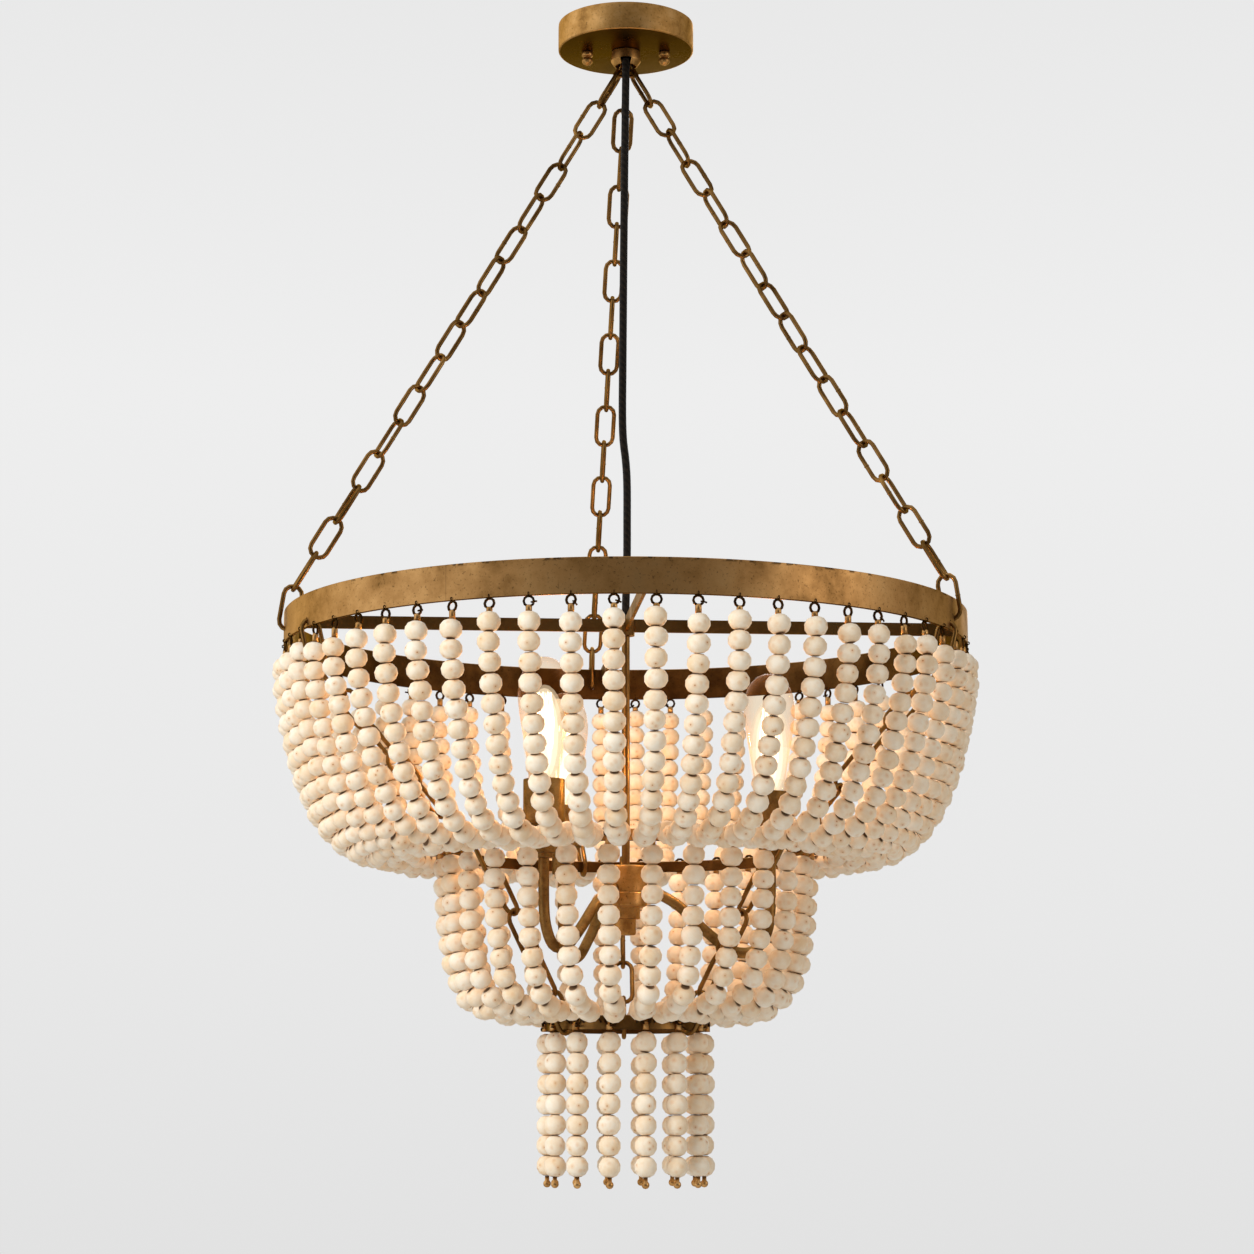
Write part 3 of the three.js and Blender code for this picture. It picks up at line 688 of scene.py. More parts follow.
@dataclass(frozen=True)
class BraidedSleeve(Finish):
    """A woven black sleeve over flex: matt, with the small ribs of its braid."""

    black: str = "#0c0907"
    thread: str = "#1a1510"
    pick_mm: float = 1.6
    radians_a_wave: float = 6.28

    def build(self) -> bpy.types.Material:
        """Make the material.

        Returns:
            The material.
        """
        material, tree, shader, where = self.start()
        weave = add_node(
            tree, "ShaderNodeTexWave", {"bands_direction": "DIAGONAL"},
            Vector=where, Scale=1 / (self.pick_mm * MM) / self.radians_a_wave, Distortion=1.5,
        ).outputs["Fac"]
        shades = [(0.3, srgb(self.black)), (0.8, srgb(self.thread))]
        colour = add_node(tree, "ShaderNodeValToRGB", stops=shades, Fac=weave).outputs["Color"]
        tree.links.new(colour, shader.inputs["Base Color"])
        bump = add_node(tree, "ShaderNodeBump", Height=weave, Strength=0.4, Distance=0.0004)
        tree.links.new(bump.outputs["Normal"], shader.inputs["Normal"])
        shader.inputs["Roughness"].default_value = 0.6
        shader.inputs["Specular IOR Level"].default_value = 0.2
        return material


@dataclass(frozen=True)
class BlownGlass(Finish):
    """Thin clear blown glass: almost nothing face on, and glossy at its grazing edges, where a brown colour
    is painted in as a reflection of the warm surroundings.
    """

    tint: str = "#fff6e8"
    # painted reflection: the brown that the glass shows at its grazing edges
    edge: str = "#8c6c4c"
    ripple_mm: float = 20.0
    cover: float = 0.42

    def build(self) -> bpy.types.Material:
        """Make the material.

        Returns:
            The material.
        """
        material, tree, shader, where = self.start()
        # the base colour shows at grazing edges as a painted brown reflection, over the glass's real gloss
        shader.inputs["Base Color"].default_value = srgb(self.edge)
        shader.inputs["Roughness"].default_value = 0.04
        shader.inputs["Specular IOR Level"].default_value = 0.8
        ripple = add_node(
            tree, "ShaderNodeTexNoise", Vector=where, Scale=1 / (self.ripple_mm * MM)
        ).outputs["Fac"]
        bump = add_node(tree, "ShaderNodeBump", Height=ripple, Strength=0.1, Distance=0.001)
        tree.links.new(bump.outputs["Normal"], shader.inputs["Normal"])
        clear = add_node(tree, "ShaderNodeBsdfTransparent", Color=srgb(self.tint))
        facing = add_node(tree, "ShaderNodeLayerWeight", Blend=0.35).outputs["Facing"]
        amount = add_node(
            tree, "ShaderNodeMapRange", i0=facing, i1=0.1, i2=1.0, i3=0.0, i4=self.cover
        ).outputs[0]
        both = add_node(
            tree, "ShaderNodeMixShader", i0=amount, i1=clear.outputs[0], i2=shader.outputs[0]
        ).outputs[0]
        tree.links.new(both, tree.nodes["Material Output"].inputs["Surface"])
        return material


@dataclass(frozen=True)
class Glow(Finish):
    """Something lit from within: a coiled filament, or a painted glow round it that stands in for its glare.
    """

    colour: str = "#ffd9a6"
    strength: float = 20.0
    cover: float = 1.0

    def build(self) -> bpy.types.Material:
        """Make the material.

        Returns:
            The material.
        """
        material, tree, shader, _ = self.start()
        tree.nodes.remove(shader)
        light = add_node(tree, "ShaderNodeEmission", Color=srgb(self.colour), Strength=self.strength)
        clear = add_node(tree, "ShaderNodeBsdfTransparent")
        both = add_node(
            tree, "ShaderNodeMixShader", i0=self.cover, i1=clear.outputs[0], i2=light.outputs[0]
        ).outputs[0]
        tree.links.new(both, tree.nodes["Material Output"].inputs["Surface"])
        return material


@dataclass(frozen=True)
class MouldedPhenolic(Finish):
    """A moulded phenolic lamp holder: near black, matt, with faint flow marks."""

    base: str = "#241d18"
    streak: str = "#3a3028"
    flow_mm: float = 6.0

    def build(self) -> bpy.types.Material:
        """Make the material.

        Returns:
            The material.
        """
        material, tree, shader, where = self.start()
        flow = add_node(
            tree, "ShaderNodeTexNoise", Vector=where, Scale=1 / (self.flow_mm * MM), Detail=2.0
        ).outputs["Fac"]
        shades = [(0.3, srgb(self.base)), (0.8, srgb(self.streak))]
        colour = add_node(tree, "ShaderNodeValToRGB", stops=shades, Fac=flow).outputs["Color"]
        tree.links.new(colour, shader.inputs["Base Color"])
        shader.inputs["Roughness"].default_value = 0.55
        return material


@dataclass(frozen=True)
class Distemper(Finish):
    """A plain pale wall or floor paint that takes only the softest shadow."""

    base: str = "#ededed"
    light: str = "#f0f0f0"

    def build(self) -> bpy.types.Material:
        """Make the material.

        Returns:
            The material.
        """
        material, tree, shader, where = self.start()
        cloud = add_node(tree, "ShaderNodeTexNoise", Vector=where, Scale=0.6).outputs["Fac"]
        shades = [(0.3, srgb(self.base)), (0.7, srgb(self.light))]
        colour = add_node(tree, "ShaderNodeValToRGB", stops=shades, Fac=cloud).outputs["Color"]
        tree.links.new(colour, shader.inputs["Base Color"])
        shader.inputs["Roughness"].default_value = 0.9
        return material


@dataclass
class Finishes:
    """All the finishes of the chandelier, made once."""

    bead: bpy.types.Material = field(init=False)
    brass: bpy.types.Material = field(init=False)
    band: bpy.types.Material = field(init=False)
    top_band: bpy.types.Material = field(init=False)
    shaded: bpy.types.Material = field(init=False)
    underside_shade: bpy.types.Material = field(init=False)
    inside: bpy.types.Material = field(init=False)
    bronze: bpy.types.Material = field(init=False)
    wire: bpy.types.Material = field(init=False)
    ferrule: bpy.types.Material = field(init=False)
    sleeve: bpy.types.Material = field(init=False)
    glass: bpy.types.Material = field(init=False)
    filament: bpy.types.Material = field(init=False)
    halo: bpy.types.Material = field(init=False)
    haze: bpy.types.Material = field(init=False)
    glow: bpy.types.Material = field(init=False)
    core: bpy.types.Material = field(init=False)
    holder: bpy.types.Material = field(init=False)
    lamp_cap: bpy.types.Material = field(init=False)

    def __post_init__(self) -> None:
        """Make each material."""
        self.bead = WhitewashedBeech("whitewashed_beech").build()
        self.brass = AgedBrass(
            "aged_brass", light="#d2a467", middle="#b88b4f", dark="#8c6535", cloud_mm=18
        ).build()
        band_look = {"light": "#c79b64", "middle": "#b18652", "dark": "#8c6738"}
        self.band = AgedBrass("aged_brass_band", **band_look).build()
        self.top_band = AgedBrass("aged_brass_top_band", nicked_edge_mm=UPPER.top, **band_look).build()
        self.shaded = AgedBrass(
            "shaded_brass", light="#a5834f", middle="#886a3e", dark="#634a29", cloud_mm=18
        ).build()
        # the dish's downward face: a darker brass as painted shade, on a real smoother, glossier finish
        self.underside_shade = AgedBrass(
            "underside_painted_shade", light="#62472c", middle="#543b24", dark="#47311d",
            cloud_mm=60, roughness=0.26,
        ).build()
        # a darker copy of the band brass for the bands' inner and lower faces: painted shade
        self.inside = AgedBrass(
            "band_inside_painted_shade", light="#6b4b27", middle="#4f361a", dark="#332110"
        ).build()
        self.bronze = AgedBrass(
            "darkened_brass", light="#9d7642", middle="#7a5a31", dark="#553c1b",
            cloud_mm=30, roughness=0.33, pitted=0.2,
        ).build()
        self.wire = AgedBrass(
            "blackened_wire", light="#52391f", middle="#382513", dark="#1f140a", cloud_mm=8, roughness=0.4
        ).build()
        self.ferrule = AgedBrass(
            "bright_brass", light="#deb277", middle="#c4945a", dark="#966c3a",
            cloud_mm=9, roughness=0.34, pitted=0.25,
        ).build()
        self.sleeve = BraidedSleeve("braided_sleeve").build()
        self.glass = BlownGlass("blown_glass").build()
        self.filament = Glow("filament", colour="#ffdcae", strength=14.0).build()
        # core, middle, haze and halo are painted glow: shells that shine round the filament in place of its
        # glare
        self.core = Glow("painted_glow_core", colour="#fff8ec", strength=2.6, cover=0.36).build()
        self.glow = Glow("painted_glow_middle", colour="#fff4e0", strength=1.9, cover=0.32).build()
        self.haze = Glow("painted_glow_haze", colour="#ffefd6", strength=1.4, cover=0.27).build()
        self.halo = Glow("painted_glow_halo", colour="#ffe8c8", strength=1.12, cover=0.2).build()
        self.holder = MouldedPhenolic("moulded_phenolic").build()
        self.lamp_cap = AgedBrass(
            "lamp_cap", light="#d8bf86", middle="#c2a468", dark="#8a6c3a", cloud_mm=9, roughness=0.3
        ).build()


# Sizes that several classes share


@dataclass(frozen=True)
class Ring:
    """A flat band bent to a ring."""

    name: str
    radius: float
    top: float
    height: float
    wall: float = 3.0

    @property
    def bottom(self) -> float:
        """The height of the lower edge."""
        return self.top - self.height

    @property
    def mid_radius(self) -> float:
        """The radius in the middle of the wall."""
        return self.radius - self.wall / 2

    @property
    def mid_height(self) -> float:
        """The height in the middle of the band."""
        return self.top - self.height / 2


UPPER = Ring("upper_ring", 305.0, -558.5, 30.0)
MIDDLE = Ring("middle_ring", 163.0, -762.5, 10.0)
LOWER = Ring("lower_ring", 70.0, -913.5, 12.0)
MIDDLE_COUNT = 28
MIDDLE_FIRST = 264.96


def gap_angle(gaps: float) -> float:
    """Return the angle of a gap between two middle strands, counted from the first strand."""
    return MIDDLE_FIRST + (gaps + 0.5) * 360 / MIDDLE_COUNT


UPPER_TIES = {Side.LEFT: gap_angle(-5), Side.BACK: gap_angle(-13), Side.RIGHT: gap_angle(5)}
LOWER_TIES = {Side.LEFT: gap_angle(-4), Side.BACK: gap_angle(-14), Side.RIGHT: gap_angle(4)}


# The canopy and its hang point


@dataclass
class Canopy:
    """The ceiling dish with its bar, ball nuts, bell collar and hanger."""

    finishes: Finishes
    radius: float = 62.5
    height: float = 25.0
    wall: float = 1.6
    nipple: float = 5.0
    screw_at: float = 35.7
    collar_height: float = 14.1
    collar_roof: float = 1.0
    eye_drop: float = 5.7
    notch_half: float = 4.3
    notch_below: float = 4.7
    notch_beyond: float = 9.0
    hanger_top: float = -28.7
    hanger_wire: float = 1.45
    hanger_bend: float = 2.0

    def dish(self) -> None:
        """Make the dish with its rolled edge, brass outside, and a darker, glossier brass below whose
        darkness is painted shade.
        """
        low, inner, bore = -self.height, self.radius - self.wall, self.nipple + GAP
        corners = [(bore, low), (self.radius, low), (self.radius, -2.2), (self.radius - 0.2, 0)]
        outside = rounded(corners, 1.5, 4)
        inside = rounded([(inner, 0), (inner, low + self.wall), (bore, low + self.wall)], 2.0, 3)
        bm = lathe(outside + inside, 96, closed=True)
        # the downward faces outside take the darker brass, painted shade under the dish
        for face in bm.faces:
            outer = face.calc_center_median().z < low + self.wall / 2
            face.material_index = int(face.normal.z < -0.99 and outer)
        materials = [self.finishes.brass, self.finishes.underside_shade]
        piece = crease_by_angle(object_from("canopy_dish", bm, materials))
        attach(piece, "ceiling")
        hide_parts("canopy")

    def nuts(self) -> None:
        """Make the two ball nuts."""
        top = -self.height - GAP
        outline = [
            (0.0, top - 12.8), (2.0, top - 12.4), (3.8, top - 11.2), (4.8, top - 9.5), (5.0, top - 8.0),
            (4.6, top - 6.4), (3.5, top - 5.2), (3.0, top - 4.8), (3.2, top - 4.4), (4.7, top - 4.1),
            (5.2, top - 3.5), (5.2, top - 0.6), (4.8, top), (0.0, top),
        ]
        for side, name in ((-1, "left"), (1, "right")):
            bm = lathe(outline, 28)
            bmesh.ops.translate(bm, verts=bm.verts, vec=(side * self.screw_at, 0, 0))
            piece = crease_by_angle(object_from(f"ball_nut_{name}", bm, [self.finishes.brass]), 50)
            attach(piece, "ceiling")
            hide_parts(f"canopy_nut_{name}")

    def collar(self) -> None:
        """Make the open bell, its nipple, the notch for the flex and the eye under its roof."""
        roof = -self.height - GAP
        low = roof - self.collar_height
        outline = rounded(
            [
                (3.2, roof - 1), (12.6, roof - 1), (12.9, roof - 8.9), (9.4, low), (10.3, low),
                (13.9, roof - 8.9), (13.0, roof), (self.nipple, roof), (self.nipple, -1.5), (3.2, -1.5),
            ],
            0.35,
            1,
        )
        bm = lathe(outline, 64, closed=True)
        front = []
        for face in bm.faces:
            middle = face.calc_center_median()
            narrow = middle.y < 0 and abs(middle.x) < self.notch_half
            if narrow and middle.z < roof - self.notch_below and middle.xy.length > self.notch_beyond:
                front.append(face)
        bmesh.ops.delete(bm, geom=front, context="FACES")
        bmesh.ops.holes_fill(bm, edges=[e for e in bm.edges if e.is_boundary], sides=0)
        eye = roof - self.collar_roof - self.eye_drop
        bar, post, half = (3, 6.6, 3), (3, 3, 5.8), 3.3
        for place, size in (((0, 0, eye), bar), ((0, half, eye + 2.9), post), ((0, -half, eye + 2.9), post)):
            bmesh.ops.create_cube(bm, size=1, matrix=Matrix.Translation(place) @ Matrix.Diagonal((*size, 1)))
        piece = crease_by_angle(object_from("bell_collar", bm, [self.finishes.brass]))
        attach(piece, "ceiling")
        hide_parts("collar")

    def hanger(self) -> None:
        """Make the tapered ring of round wire that the chains hang on."""
        top, low = self.hanger_top, HANGER_BAR
        waist = top - 10.9
        corners = [(-3, top), (-5.9, waist), (-11.2, low), (11.2, low), (5.9, waist), (3, top)]
        points = [Vector((x, 0, z)) for x, z in corners]
        line: list[Vector] = []
        for k, corner in enumerate(points):
            after = points[(k + 1) % len(points)]
            line += eased_corner(points[k - 1], corner, after, self.hanger_bend, (0, 0.33, 0.67, 1))
        line += [line[0].copy(), line[1].copy()]
        bm = sweep(line, self.hanger_wire, 10, caps=False)
        piece = object_from("hanger_wire", bm, [self.finishes.bronze])
        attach(piece, "hanger")
        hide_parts("hanger_ring")

    def build(self, nodes: dict[str, bpy.types.Object]) -> None:
        """Make the canopy's pieces and dress its bar.

        Args:
            nodes: The CAD nodes, of which the bar is kept.
        """
        self.dish()
        self.nuts()
        self.collar()
        self.hanger()
        dress(nodes["crossbar"], self.finishes.brass)
        LOG.info("canopy: dish, bar, ball nuts, bell collar and hanger")


def dress(node: bpy.types.Object, material: bpy.types.Material) -> None:
    """Give a kept node its material."""
    node.data.materials.clear()
    node.data.materials.append(material)


# Chains


@dataclass
class Link:
    """One link: its middle, its long direction, its side direction and its length."""

    centre: Vector
    along: Vector
    side: Vector
    length: float


@dataclass
class Chains:
    """The suspension chains and the tie chains between the rings."""

    finishes: Finishes
    pitch: float = 35.8
    width: float = 16.0
    wire: float = 3.6
    drawn_wire: float = 4.1
    bite: float = 0.5
    hole_radius: float = 5.0
    hole_sides: int = 6
    hanger_wire: float = 3.0
    weld_bulge: float = 1.3
    weld_share: float = 0.6
    below_top: float = 20.0
    above_bottom: float = 8.0
    tie_lean: float = 14.0
    lean: float = 9.0
    slots: dict[Side, float] = field(
        default_factory=lambda: {Side.LEFT: -7.5, Side.BACK: -0.3, Side.RIGHT: 7.1}
    )
    azimuths: dict[Side, float] = field(
        default_factory=lambda: {Side.LEFT: 191, Side.BACK: 96.5, Side.RIGHT: 338}
    )

    @property
    def end_length(self) -> float:
        """The length of an end link between the middles of its wire."""
        return self.pitch + self.wire - self.bite

    @property
    def play(self) -> float:
        """How far from the middle of its hole the wire of an end link sits."""
        return self.hole_radius * math.cos(math.pi / self.hole_sides) - self.wire / math.sqrt(2) - GAP

    def run(self, first: Link, last: Link) -> list[Link]:
        """Lay the links between two end links.

        Args:
            first: The upper end link.
            last: The lower end link.

        Returns:
            All links, the ends included.
        """
        start = first.centre + first.along * self.pitch / 2
        finish = last.centre - last.along * self.pitch / 2
        span = finish - start
        count = max(1, round(span.length / self.pitch))
        pitch = span.length / count
        along = span.normalized()
        flat = [(s - along * s.dot(along)).normalized() for s in (first.side, last.side)]
        turn = math.atan2(along.dot(flat[0].cross(flat[1])), flat[0].dot(flat[1]))
        steps = count + 1
        need = turn - math.pi / 2 * steps
        twist = (need - math.pi * round(need / math.pi)) / steps
        links = [first]
        for k in range(1, count + 1):
            side = flat[0].copy()
            side.rotate(Quaternion(along, k * (math.pi / 2 + twist)))
            centre = start + along * (k - 0.5) * pitch
            links.append(Link(centre, along, side, pitch + self.wire - self.bite))
        return links + [last]

    def suspension(self, side: Side) -> list[Link]:
        """Lay one chain from the hanger's bar to the upper ring.

        Args:
            side: Which of the three.

        Returns:
            Its links.
        """
        bar = Vector((self.slots[side], 0, HANGER_BAR))
        azimuth = self.azimuths[side]
        hole = polar(UPPER.mid_radius, azimuth, UPPER.top - self.below_top)
        down = polar(math.sin(math.radians(self.lean)), azimuth, -math.cos(math.radians(self.lean)))
        centre = hole + down * (-self.end_length / 2 - self.play)
        last = Link(centre, down, polar(1, azimuth + 90).cross(down).normalized(), self.end_length)
        towards = (centre - down * self.pitch / 2 - bar).normalized()
        seat = self.hanger_wire / math.sqrt(2) + self.wire / 2 + GAP
        flat = towards.cross(Vector((1, 0, 0))).normalized()
        first = Link(bar + towards * (self.end_length / 2 - seat), towards, flat, self.end_length)
        return self.run(first, last)

    def cradle(self, ring: Ring, lean: float) -> float:
        """Work out how far past the middle of a band the end of a leaning link sits.

        Args:
            ring: The band.
            lean: The link's lean from upright, in radians.

        Returns:
            The distance along the link.
        """
        room = (self.width - self.wire) / 2 - 2 * GAP
        found = []
        for side in (-1, 1):
            x = side * ring.wall / 2
            along = -x * math.sin(lean) + ring.height / 2 * math.cos(lean)
            across = abs(x * math.cos(lean) + ring.height / 2 * math.sin(lean))
            corner = self.width / 2 * (math.sqrt(2) - 1)
            depth = min(room, room * math.sqrt(2) - across)
            found.append((depth if across > corner else room) - along)
        return min(found)

    def tie(self, upper: Ring, lower: Ring, degrees: float, through_hole: bool) -> list[Link]:
        """Return the links that carry one ring from another.

        Args:
            upper: The ring above.
            lower: The ring below.
            degrees: Where round the rings.
            through_hole: Whether the top link goes through a hole, or else round the band.

        Returns:
            The links from top to bottom.
        """
        slope = math.atan2(upper.mid_radius - lower.mid_radius, upper.mid_height - lower.mid_height)
        across = polar(1, degrees + 90)

        def direction(lean: float) -> Vector:
            """Return the way down and inwards at a lean."""
            return polar(-math.sin(lean), degrees, -math.cos(lean))

        top_lean = math.radians(self.tie_lean) if through_hole else slope
        top = direction(top_lean)
        hook = self.end_length / 2 - self.width / 2
        if through_hole:
            start = polar(upper.mid_radius, degrees, upper.bottom + self.above_bottom)
            centre = start + top * (self.end_length / 2 + self.play)
        else:
            start = polar(upper.mid_radius, degrees, upper.mid_height)
            centre = start + top * (hook - self.cradle(upper, top_lean))
        first = Link(centre, top, across.cross(top).normalized(), self.end_length)
        down = direction(slope)
        end = polar(lower.mid_radius, degrees, lower.mid_height)
        centre = end + down * (-self.cradle(lower, slope) - hook)
        last = Link(centre, down, across.cross(down).normalized(), self.end_length)
        return self.run(first, last)

    def shape(self, length: float) -> bpy.types.Mesh:
        """Make one link of round wire with the swelling of its weld on one side.

        Args:
            length: Between the middles of its wire at the two ends.

        Returns:
            The link's shape.
        """
        bm = stadium_loop(length + self.drawn_wire - self.wire, self.width, self.drawn_wire)
        weld = Matrix.Translation((self.width / 2, 0, 0)) @ Matrix.Diagonal((1, self.weld_bulge, 1, 1))
        bmesh.ops.create_icosphere(bm, subdivisions=1, radius=self.drawn_wire * self.weld_share, matrix=weld)
        return template(bm, "link_shape")

    def chain(self, name: str, node: str, links: list[Link]) -> None:
        """Make a chain that stands for its node.

        Args:
            name: The piece's name.
            node: The node that it replaces.
            links: Its links.
        """
        gathered = Gathered()
        shapes: dict[float, bpy.types.Mesh] = {}
        for k, link in enumerate(links):
            key = round(link.length, 2)
            if key not in shapes:
                shapes[key] = self.shape(link.length)
            side = link.side if k % 2 else -link.side
            gathered.add(shapes[key], frame_of(link.centre, side, link.along))
        for shape in shapes.values():
            bpy.data.meshes.remove(shape)
        piece = gathered.piece(name, [self.finishes.bronze])
        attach(piece, "frame")
        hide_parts(node)

    def build(self) -> None:
        """Make every chain."""
        for side in Side:
            which = side.value
            upper = self.tie(UPPER, MIDDLE, UPPER_TIES[side], True)
            lower = self.tie(MIDDLE, LOWER, LOWER_TIES[side], False)
            self.chain(f"suspension_links_{which}", f"suspension_chain_{which}", self.suspension(side))
            self.chain(f"upper_tie_links_{which}", f"upper_tie_chain_{which}", upper)
            self.chain(f"lower_tie_links_{which}", f"lower_tie_chain_{which}", lower)
        LOG.info("chains: three from the canopy, three to each lower ring")


# Rings and the middle column


@dataclass
class Bands:
    """The three rings, the cross straps, the stem and the turned hub."""

    finishes: Finishes
    edge: float = 0.5
    hole_radius: float = 2.2
    stem_radius: float = 3.6
    stem_heights: tuple[float, float, float] = (-573.8, -676.0, -779.7)

    def drill(self, piece: bpy.types.Object, ring: Ring, holes: Sequence[tuple[float, float]]) -> None:
        """Cut the chains' holes through a band.

        Args:
            piece: The band.
            ring: Its sizes.
            holes: The angle and height of each hole.
        """
        bm = bmesh.new()
        for degrees, z in holes:
            turn = Matrix.Rotation(math.radians(degrees), 4, "Z") @ Matrix.Rotation(math.pi / 2, 4, "Y")
            place = Matrix.Translation(polar(ring.mid_radius, degrees, z)) @ turn
            bmesh.ops.create_cone(
                bm, cap_ends=True, segments=20, radius1=self.hole_radius, radius2=self.hole_radius,
                depth=4 * ring.wall, matrix=place,
            )
        cutter = object_from("hole_cutter", bm, [])
        cut = piece.modifiers.new("holes", "BOOLEAN")
        cut.object = cutter
        cut.solver = "EXACT"
        apply_modifiers(piece)
        bpy.data.objects.remove(cutter)
        crease_by_angle(piece, 30)

    def band(self, ring: Ring, steps: int, holes: Sequence[tuple[float, float]] = ()) -> None:
        """Make a flat band with eased edges and its holes.

        Args:
            ring: The ring's sizes.
            steps: How many steps round it has.
            holes: The angle and height of each hole.
        """
        inner, e = ring.radius - ring.wall, self.edge
        outline = [
            (ring.radius, ring.bottom + e), (ring.radius, ring.top - e), (ring.radius - e, ring.top),
            (inner + e, ring.top), (inner, ring.top - e), (inner, ring.bottom + e),
            (inner + e, ring.bottom), (ring.radius - e, ring.bottom),
        ]
        bm = lathe(outline, steps, closed=True)
        # faces that point inwards or down take the darker brass as painted shade
        for face in bm.faces:
            middle = face.calc_center_median()
            inwards = face.normal.xy.dot(middle.xy.normalized()) < -0.9
            face.material_index = int(inwards or face.normal.z < -0.6)
        # the lower band's outside takes the darker bronze as painted shade
        band_or_shaded_lower = self.finishes.bronze if ring is LOWER else self.finishes.band
        outside = self.finishes.top_band if ring is UPPER else band_or_shaded_lower
        materials = [outside, self.finishes.inside]
        piece = crease_by_angle(object_from(f"{ring.name}_band", bm, materials), 30)
        if holes:
            self.drill(piece, ring, holes)
        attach(piece, "frame")
        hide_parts(ring.name)

    def hub(self) -> None:
        """Make the turned hub with its seam and its finial."""
        outline = rounded(
            [
                (0, -841), (7.9, -841), (9, -839.8), (9, -827), (12.5, -827), (12.5, -816.4),
                (18.2, -816.4), (19, -815.2), (19, -804.6), (18.5, -804.2), (18.5, -803.6),
                (19, -803.2), (19, -781.2), (18.2, -780), (0, -780),
            ],
            0.8,
            2,
        )
        piece = crease_by_angle(object_from("turned_hub", lathe(outline, 64), [self.finishes.brass]), 40)
        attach(piece, "frame")
        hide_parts("hub")

    def stem(self) -> None:
        """Make the rod from the cross straps down to the hub."""
        rod = sweep([Vector((0, 0, z)) for z in self.stem_heights], self.stem_radius, 20)
        stem = crease_by_angle(object_from("stem_rod", rod, [self.finishes.bronze]))
        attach(stem, "frame")
        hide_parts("stem")

    def build(self, nodes: dict[str, bpy.types.Object]) -> None:
        """Make the rings and the column.

        Args:
            nodes: The CAD nodes, of which the cross straps are kept.
        """
        chains = Chains(self.finishes)
        holes = [(a, UPPER.top - chains.below_top + chains.play) for a in chains.azimuths.values()]
        holes += [(a, UPPER.bottom + chains.above_bottom - chains.play) for a in UPPER_TIES.values()]
        self.band(UPPER, 180, holes)
        self.band(MIDDLE, 120)
        self.band(LOWER, 80)
        self.hub()
        dress(nodes["cross_straps"], self.finishes.bronze)
        self.stem()
        LOG.info("rings: three bands, cross straps, stem and hub")


def apply_modifiers(piece: bpy.types.Object) -> None:
    """Put the result of a piece's modifiers into its mesh.

    Args:
        piece: The object.
    """
    bpy.context.view_layer.update()
    seen = piece.evaluated_get(bpy.context.evaluated_depsgraph_get())
    mesh = bpy.data.meshes.new_from_object(seen)
    piece.modifiers.clear()
    piece.data = mesh


# Lamps


